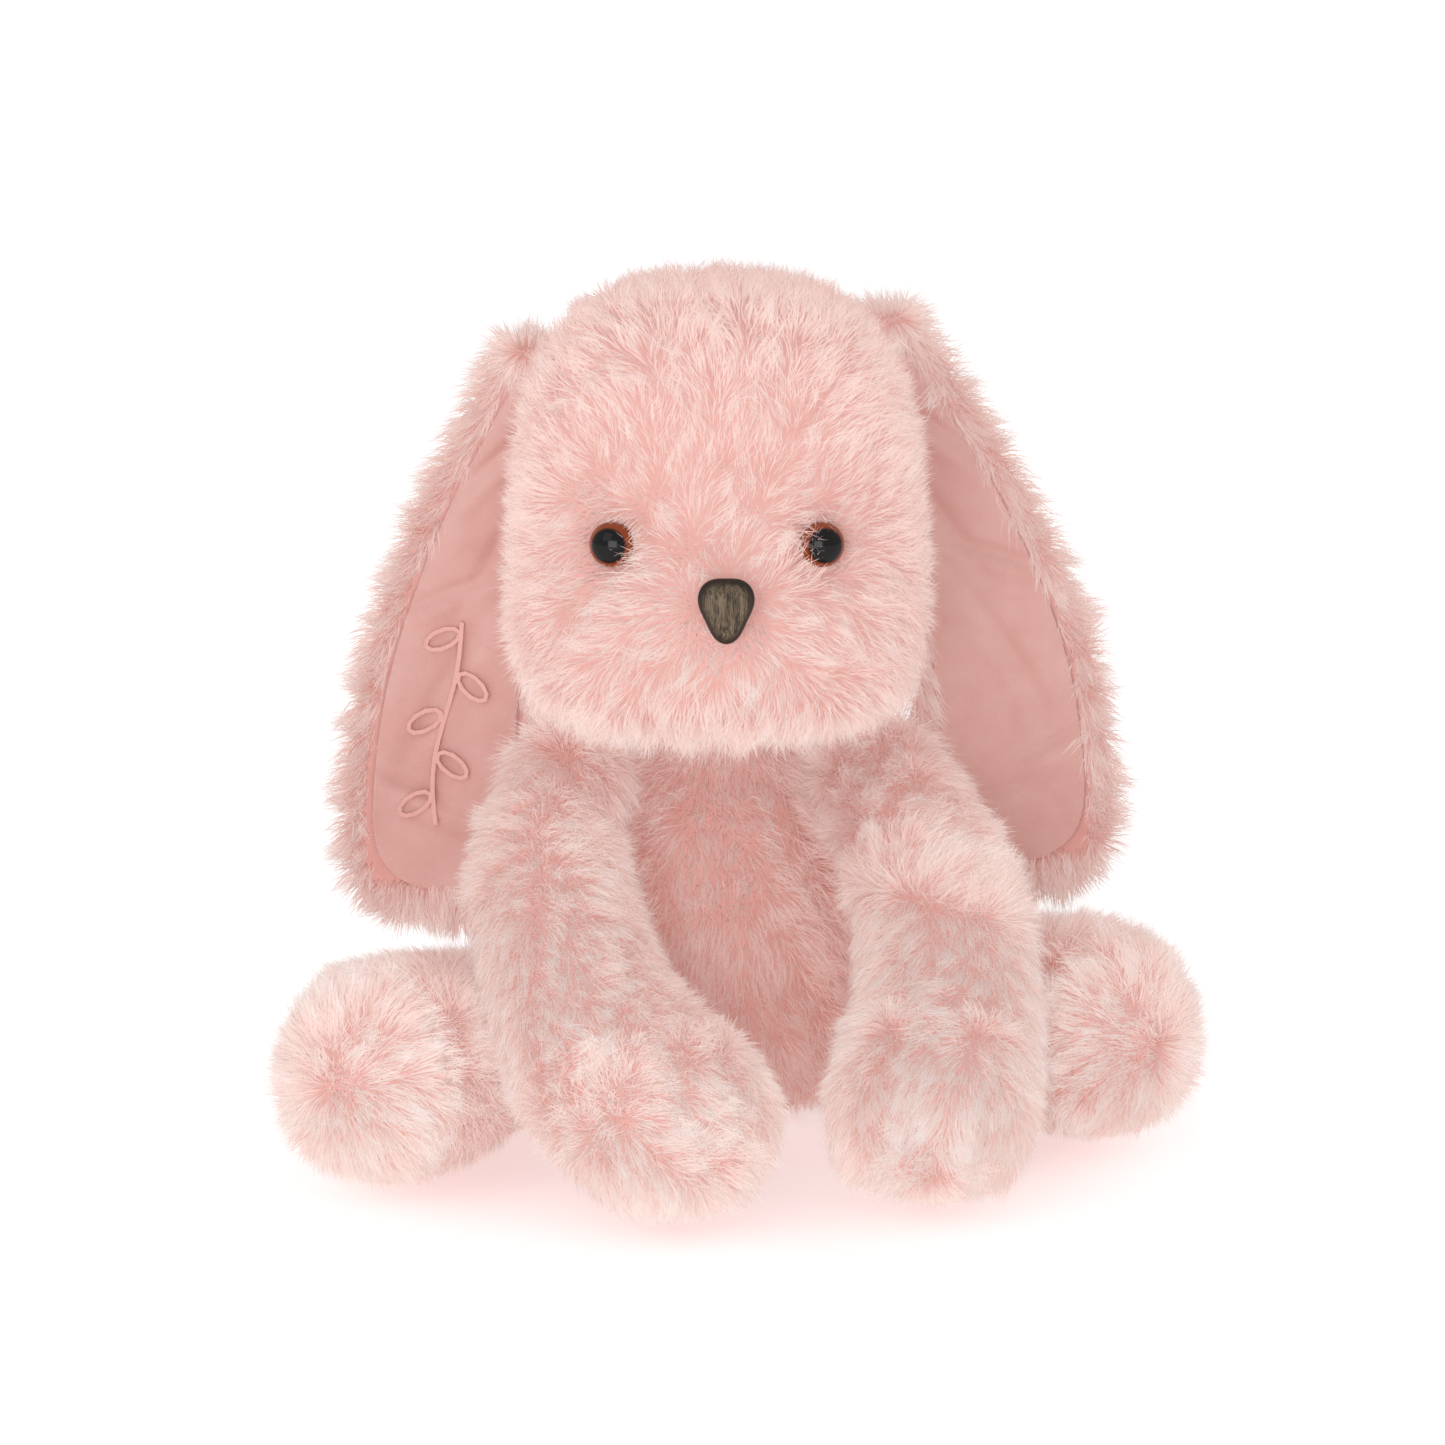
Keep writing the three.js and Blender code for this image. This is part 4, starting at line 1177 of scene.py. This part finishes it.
# ------------------------------------------------------------------ the ears
@dataclass
class Ear:
    """A long hanging ear: a fur back panel with a velvet lining sewn in front of it."""

    side: Side
    seed: int
    strands: int = 62000
    half_width: float = 31 * MM
    pile: float = 8 * MM
    lining_inset: float = 10 * MM
    cup: float = 7 * MM
    gather: float = 0.32
    broad_at: float = 0.85
    round_from: float = 0.84
    rim: float = 3.5 * MM

    def build(self, cloth: bpy.types.Material) -> None:
        """Makes the back panel, its coat and the lining."""
        self.body = f"ear_{self.side.word}"
        self.find_line()
        back = self.panel()
        back.data.materials.append(cloth)
        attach(back, self.body)
        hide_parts(f"ear_fur_{self.side.word}")
        coat = FurCoat(f"{self.body}_fur", self.seed, self.strands, length=10.0 * MM, lean=0.66,
                       clump=2.0 * MM)
        wear(coat.grow(Surface.of(back), self.comb, FUR), self.body)
        self.lining()

    def find_line(self) -> None:
        """Works out the ear's middle line from its hinge and the boxes of its panel."""
        sign = self.side.value
        root = joint_point(f"ear_{self.side.word}_lift")
        low, high = node_box(f"ear_fur_{self.side.word}")
        outer = high[0] if sign > 0 else -low[0]
        out = outer - self.half_width
        back = high[1] - self.pile
        fall = root[2] - low[2]
        spread = sign * out - root[0]
        marks = np.array([
            root,
            [root[0] + 0.04 * spread, (root[1] + back) / 2 + 1 * MM, root[2] - 6 * MM],
            [root[0] + 0.24 * spread, back - 4 * MM, root[2] - 0.17 * fall],
            [root[0] + 0.55 * spread, back, root[2] - 0.36 * fall],
            [root[0] + 0.87 * spread, back, root[2] - 0.64 * fall],
            [sign * out, back, low[2]],
        ])
        self.line = smooth_line(marks, 240)
        steps = np.linalg.norm(np.diff(self.line, axis=0), axis=1)
        self.run = np.concatenate([[0], np.cumsum(steps)])
        self.length = self.run[-1]

    def place(self, share: np.ndarray, across: np.ndarray, off: np.ndarray) -> np.ndarray:
        """Points of the ear.

        Args:
            share: How far down the ear, from 0 at its root to 1 at its tip.
            across: Distance from its middle line, in metres.
            off: Distance in front of the lining's plane, in metres.

        Returns:
            One point for each.
        """
        at = np.clip(share, 0, 1) * self.length
        centre = np.stack([np.interp(at, self.run, self.line[:, k]) for k in range(3)], -1)
        step = 2 * MM
        ahead = np.stack([np.interp(np.minimum(at + step, self.length), self.run, self.line[:, k])
                          for k in range(3)], -1)
        behind = np.stack([np.interp(np.maximum(at - step, 0), self.run, self.line[:, k])
                           for k in range(3)], -1)
        down = unit(ahead - behind)
        sideways = unit(np.cross(down, [0.0, 1.0, 0.0]))
        front = -unit(np.cross(sideways, down))
        cup = self.cup * np.minimum(1, share * 2) * (across / self.half_width) ** 2
        return centre + sideways * across[..., None] + front * (off + cup)[..., None]

    def half_at(self, share: np.ndarray, inset: float) -> np.ndarray:
        """Half the ear's width at a share of its length, less an inset."""
        broad = self.gather + (1 - self.gather) * np.sin(np.minimum(1, share / self.broad_at) * (math.pi / 2))
        past = np.clip((share - self.round_from) / (1 - self.round_from), 0, 1)
        return np.maximum(self.half_width * broad - inset, 2 * MM) * np.maximum(0, 1 - past**2.6) ** (1 / 2.6)

    def panel(self) -> bpy.types.Object:
        """The cloth of the back panel: a thin closed form with a rounded edge."""
        rows, sides = 120, 56
        share = (1 - np.cos(np.linspace(0, math.pi, rows + 1))) / 2 * 0.985 + 0.004
        turn = np.linspace(0, 2 * math.pi, sides, endpoint=False)
        s, a = np.meshgrid(share, turn, indexing="ij")
        half = self.half_at(s, self.rim)
        thin = 1.6 * MM
        sine = np.sin(a)
        off = -2.0 * MM + thin * np.sign(sine) * np.abs(sine) ** 0.7
        points = self.place(s.ravel(), (half * np.cos(a)).ravel(), off.ravel())
        faces = []
        for i in range(rows):
            for j in range(sides):
                k = (j + 1) % sides
                faces.append((i * sides + j, i * sides + k, (i + 1) * sides + k, (i + 1) * sides + j))
        faces.append(tuple(range(sides))[::-1])
        faces.append(tuple(rows * sides + j for j in range(sides)))
        piece = new_object(f"{self.body}_backing", points, faces)
        edit = bmesh.new()
        edit.from_mesh(piece.data)
        bmesh.ops.recalc_face_normals(edit, faces=edit.faces)
        edit.to_mesh(piece.data)
        edit.free()
        smooth(piece)
        return piece

    def nearest(self, roots: np.ndarray) -> tuple[np.ndarray, np.ndarray, np.ndarray]:
        """Share of the length, distance across, and distance in front, for points near the ear."""
        sample = self.line[::4]
        gap = np.linalg.norm(roots[:, None] - sample[None], axis=2)
        index = np.argmin(gap, axis=1)
        share = self.run[::4][index] / self.length
        down = unit(sample[np.minimum(index + 1, len(sample) - 1)] - sample[np.maximum(index - 1, 0)])
        sideways = unit(np.cross(down, [0.0, 1.0, 0.0]))
        front = -unit(np.cross(sideways, down))
        off = roots - sample[index]
        return share, (off * sideways).sum(1), (off * front).sum(1)

    def comb(self, roots: np.ndarray, normals: np.ndarray) -> Combing:
        """The pile runs down the back of the ear and out over its edge; the lining's side is bare."""
        share, across, _ = self.nearest(roots)
        index = np.minimum((share * (len(self.line) - 2)).astype(int), len(self.line) - 2)
        down = unit(self.line[index + 1] - self.line[index])
        sideways = unit(np.cross(down, [0.0, 1.0, 0.0]))
        half = np.maximum(self.half_at(share, self.rim), 1 * MM)
        edge = ramp(np.abs(across) / half, 0.6, 1.0)[:, None]
        flow = down * (1 - 0.35 * edge) + 0.9 * edge * np.sign(across)[:, None] * sideways
        lie = Combing.even(flow)
        front = -unit(np.cross(sideways, down))
        facing = (normals * front).sum(1)
        inner = half - 5.0 * MM
        lie.keep = ~((facing > 0.25) & (np.abs(across) < inner) & (share > 0.1) & (share < 0.94))
        lie.shade = np.full(len(roots), 0.58)
        return lie

    def lining(self) -> None:
        """The velvet lining: a soft panel with creases, drawn in at its seam."""
        columns, rows = 64, 190
        share = np.linspace(0.09, 0.955, rows + 1)
        v = np.linspace(-1, 1, columns + 1)
        s, w = np.meshgrid(share, v, indexing="ij")
        own = (s - share[0]) / (share[-1] - share[0])
        ends = np.maximum(0, 1 - np.abs(2 * own - 1) ** 12) ** 0.5
        half = self.half_at(0.02 + 0.98 * s, self.lining_inset) * (0.08 + 0.92 * ends)
        across = half * w
        puff = 1.7 * MM * (1 - w**4) * ends
        stitches = np.sin(s * self.length / (3.1 * MM) * 2 * math.pi)
        seam = 0.28 * MM * stitches * np.exp(-((1 - np.abs(w)) / 0.09) ** 2)
        off = 0.9 * MM + puff + seam + self.creases(s * self.length, across)
        front = self.place(s.ravel(), across.ravel(), off.ravel())
        behind = self.place(s.ravel(), across.ravel(), (off * 0 + 0.1 * MM).ravel())
        points = np.concatenate([front, behind])
        wide = columns + 1
        count = wide * (rows + 1)
        faces = []
        for i in range(rows):
            for j in range(columns):
                q = (i * wide + j, i * wide + j + 1, (i + 1) * wide + j + 1, (i + 1) * wide + j)
                faces.append(q)
                faces.append(tuple(count + x for x in reversed(q)))
        rim = [j for j in range(columns)] + [i * wide + columns for i in range(rows)]
        rim += [rows * wide + j for j in range(columns, 0, -1)] + [i * wide for i in range(rows, 0, -1)]
        for a, b in zip(rim, rim[1:] + rim[:1]):
            faces.append((b, a, count + a, count + b))
        piece = new_object(f"{self.body}_lining", points, faces)
        edit = bmesh.new()
        edit.from_mesh(piece.data)
        bmesh.ops.recalc_face_normals(edit, faces=edit.faces)
        edit.to_mesh(piece.data)
        edit.free()
        smooth(piece)
        piece.data.materials.append(VELVET.material())
        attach(piece, self.body)
        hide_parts(f"ear_lining_{self.side.word}")

    def creases(self, down: np.ndarray, across: np.ndarray) -> np.ndarray:
        """Soft folds in the lining, each a valley along a short line.

        Args:
            down: Distance along the ear, in metres.
            across: Distance from its middle, in metres.

        Returns:
            How far the cloth stands out or in.
        """
        sign = self.side.value
        total = np.zeros_like(down)
        for at, aside, angle, reach, wide, depth in CREASES:
            x, y = across * sign - aside * MM, down - at * MM
            c, s = math.cos(math.radians(angle)), math.sin(math.radians(angle))
            along, off = x * c + y * s, -x * s + y * c
            shape = np.exp(-((along / (reach * MM)) ** 2))
            total -= depth * MM * shape * np.exp(-((off / (wide * MM)) ** 2))
            total += 0.6 * depth * MM * shape * np.exp(-(((off - 2 * wide * MM) / (1.3 * wide * MM)) ** 2))
        soft = WaveField(self.seed + 9, 26 * MM)
        flat = np.stack([across, down, np.zeros_like(down)], -1).reshape(-1, 3)
        return total + 0.45 * MM * soft.value(flat).reshape(down.shape)


# Folds of an ear's lining: millimetres down the ear, millimetres outward of its middle, the fold's angle in
# degrees, and its reach, width and depth in millimetres.
CREASES = (
    (48.0, 4.0, 62.0, 22.0, 2.2, 1.6),
    (66.0, -6.0, 74.0, 26.0, 2.6, 1.4),
    (92.0, 8.0, 35.0, 14.0, 2.0, 1.3),
    (118.0, 3.0, 70.0, 24.0, 3.0, 1.2),
    (150.0, 9.0, -24.0, 12.0, 1.8, 1.3),
    (162.0, -4.0, -12.0, 14.0, 1.8, 1.0),
)


def smooth_line(marks: np.ndarray, count: int) -> np.ndarray:
    """A smooth curve through marks, as evenly drawn points.

    Args:
        marks: The points that the curve passes through.
        count: How many points are wanted.

    Returns:
        The curve's points.
    """
    padded = np.concatenate([[2 * marks[0] - marks[1]], marks, [2 * marks[-1] - marks[-2]]])
    t = np.linspace(0, len(marks) - 1 - 1e-9, count)
    i, f = t.astype(int), (t % 1)[:, None]
    a, b, c, d = (padded[i + k] for k in range(4))
    return 0.5 * (2 * b + (c - a) * f + (2 * a - 5 * b + 4 * c - d) * f**2 + (3 * b - 3 * c + d - a) * f**3)


# ------------------------------------------------------------------ the embroidery
@dataclass
class Embroidery:
    """A sprig of outlined leaves, stitched on the lining of the right ear."""

    node: str = "ear_motif_right"

    def build(self) -> None:
        """Dresses the stitched sprig."""
        mesh = frame["nodes"][self.node].data
        mesh.materials.clear()
        mesh.materials.append(THREAD.material())


# ------------------------------------------------------------------ the studio
@dataclass
class Studio:
    """A pale floor, soft lights and the camera."""

    target: tuple[float, float, float] = (0.0, -30 * MM, 121.7 * MM)
    distance: float = 1.3
    elevation: float = 12.0
    lens: float = 113.4
    floor_size: float = 40.0
    floor_glow: float = 0.34
    surround: float = 0.72

    def build(self) -> None:
        """Sets the stage."""
        self.floor()
        self.world()
        self.light("key_light", (-1.0, -1.5, 1.4), 1.3, 4.0, (1.0, 0.985, 0.97))
        self.light("front_light", (-0.25, -2.2, 0.25), 1.4, 23.0, (1.0, 1.0, 1.0))
        self.camera()

    def floor(self) -> None:
        """A wide pale floor."""
        s = self.floor_size
        corners = np.array([[-s, -s, 0.0], [s, -s, 0.0], [s, s, 0.0], [-s, s, 0.0]])
        floor = new_object("studio_floor", corners, [(0, 1, 2, 3)])
        finish = NapFinish("studio_floor", roughness=0.9, low=(0.955, 0.95, 0.95), high=(0.965, 0.96, 0.96),
                           patch=3.0, fibre=60.0, relief=0.0)
        material = finish.material()
        shader = material.node_tree.nodes["Principled BSDF"]
        shader.inputs["Emission Color"].default_value = (1.0, 1.0, 1.0, 1.0)
        shader.inputs["Emission Strength"].default_value = self.floor_glow
        floor.data.materials.append(material)

    def world(self) -> None:
        """An even white surround."""
        world = bpy.data.worlds.new("studio")
        world.use_nodes = True
        world.node_tree.nodes["Background"].inputs[0].default_value = (1.0, 1.0, 1.0, 1.0)
        world.node_tree.nodes["Background"].inputs[1].default_value = self.surround
        bpy.context.scene.world = world
        bpy.context.scene.view_settings.view_transform = "Standard"

    def light(self, name: str, at: tuple[float, float, float], size: float, power: float,
              colour: Colour) -> None:
        """Adds a square soft light that looks at the rabbit.

        Args:
            name: The light's name.
            at: Its place in metres.
            size: Its side in metres.
            power: Its power in watts.
            colour: Its colour.
        """
        data = bpy.data.lights.new(name, "AREA")
        data.size = size
        data.energy = power
        data.color = colour
        lamp = bpy.data.objects.new(name, data)
        lamp.location = at
        lamp.rotation_euler = (Vector(self.target) - Vector(at)).to_track_quat("-Z", "Y").to_euler()
        bpy.context.scene.collection.objects.link(lamp)

    def camera(self) -> None:
        """The camera, a little above the rabbit and straight in front of it."""
        rise = math.radians(self.elevation)
        data = bpy.data.cameras.new("camera")
        data.lens = self.lens
        data.sensor_width = 36.0
        data.clip_end = 30.0
        camera = bpy.data.objects.new("camera", data)
        target = Vector(self.target)
        camera.location = target + self.distance * Vector((0.0, -math.cos(rise), math.sin(rise)))
        camera.rotation_euler = (target - camera.location).to_track_quat("-Z", "Y").to_euler()
        bpy.context.scene.collection.objects.link(camera)
        bpy.context.scene.camera = camera


def main() -> None:
    """Builds the rabbit piece by piece."""
    logging.basicConfig(level=logging.INFO)
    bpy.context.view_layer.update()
    Studio().build()
    cloth, wadding = BACKING.material(), WADDING.material()
    Torso().build(cloth, wadding)
    LOG.info("torso and tail")
    for side, seed in ((Side.RIGHT, 31), (Side.LEFT, 41)):
        arm = Limb("arm", f"arm_{side.word}_lift", side, seed, strands=64000,
                   droop=0.35, radiate=0.3, lean=0.78, wander=0.9)
        arm.build(cloth, wadding)
        leg = Limb("leg", f"leg_{side.word}_splay", side, seed + 50, strands=60000,
                   droop=0.1, radiate=1.0, lean=0.66, wander=0.3)
        leg.build(cloth, wadding)
        LOG.info("%s arm and leg", side.word)
    Head().build(cloth, wadding)
    LOG.info("head")
    Ear(Side.RIGHT, 61).build(cloth)
    Ear(Side.LEFT, 71).build(cloth)
    Embroidery().build()
    LOG.info("ears")


if __name__ == "__main__":
    main()
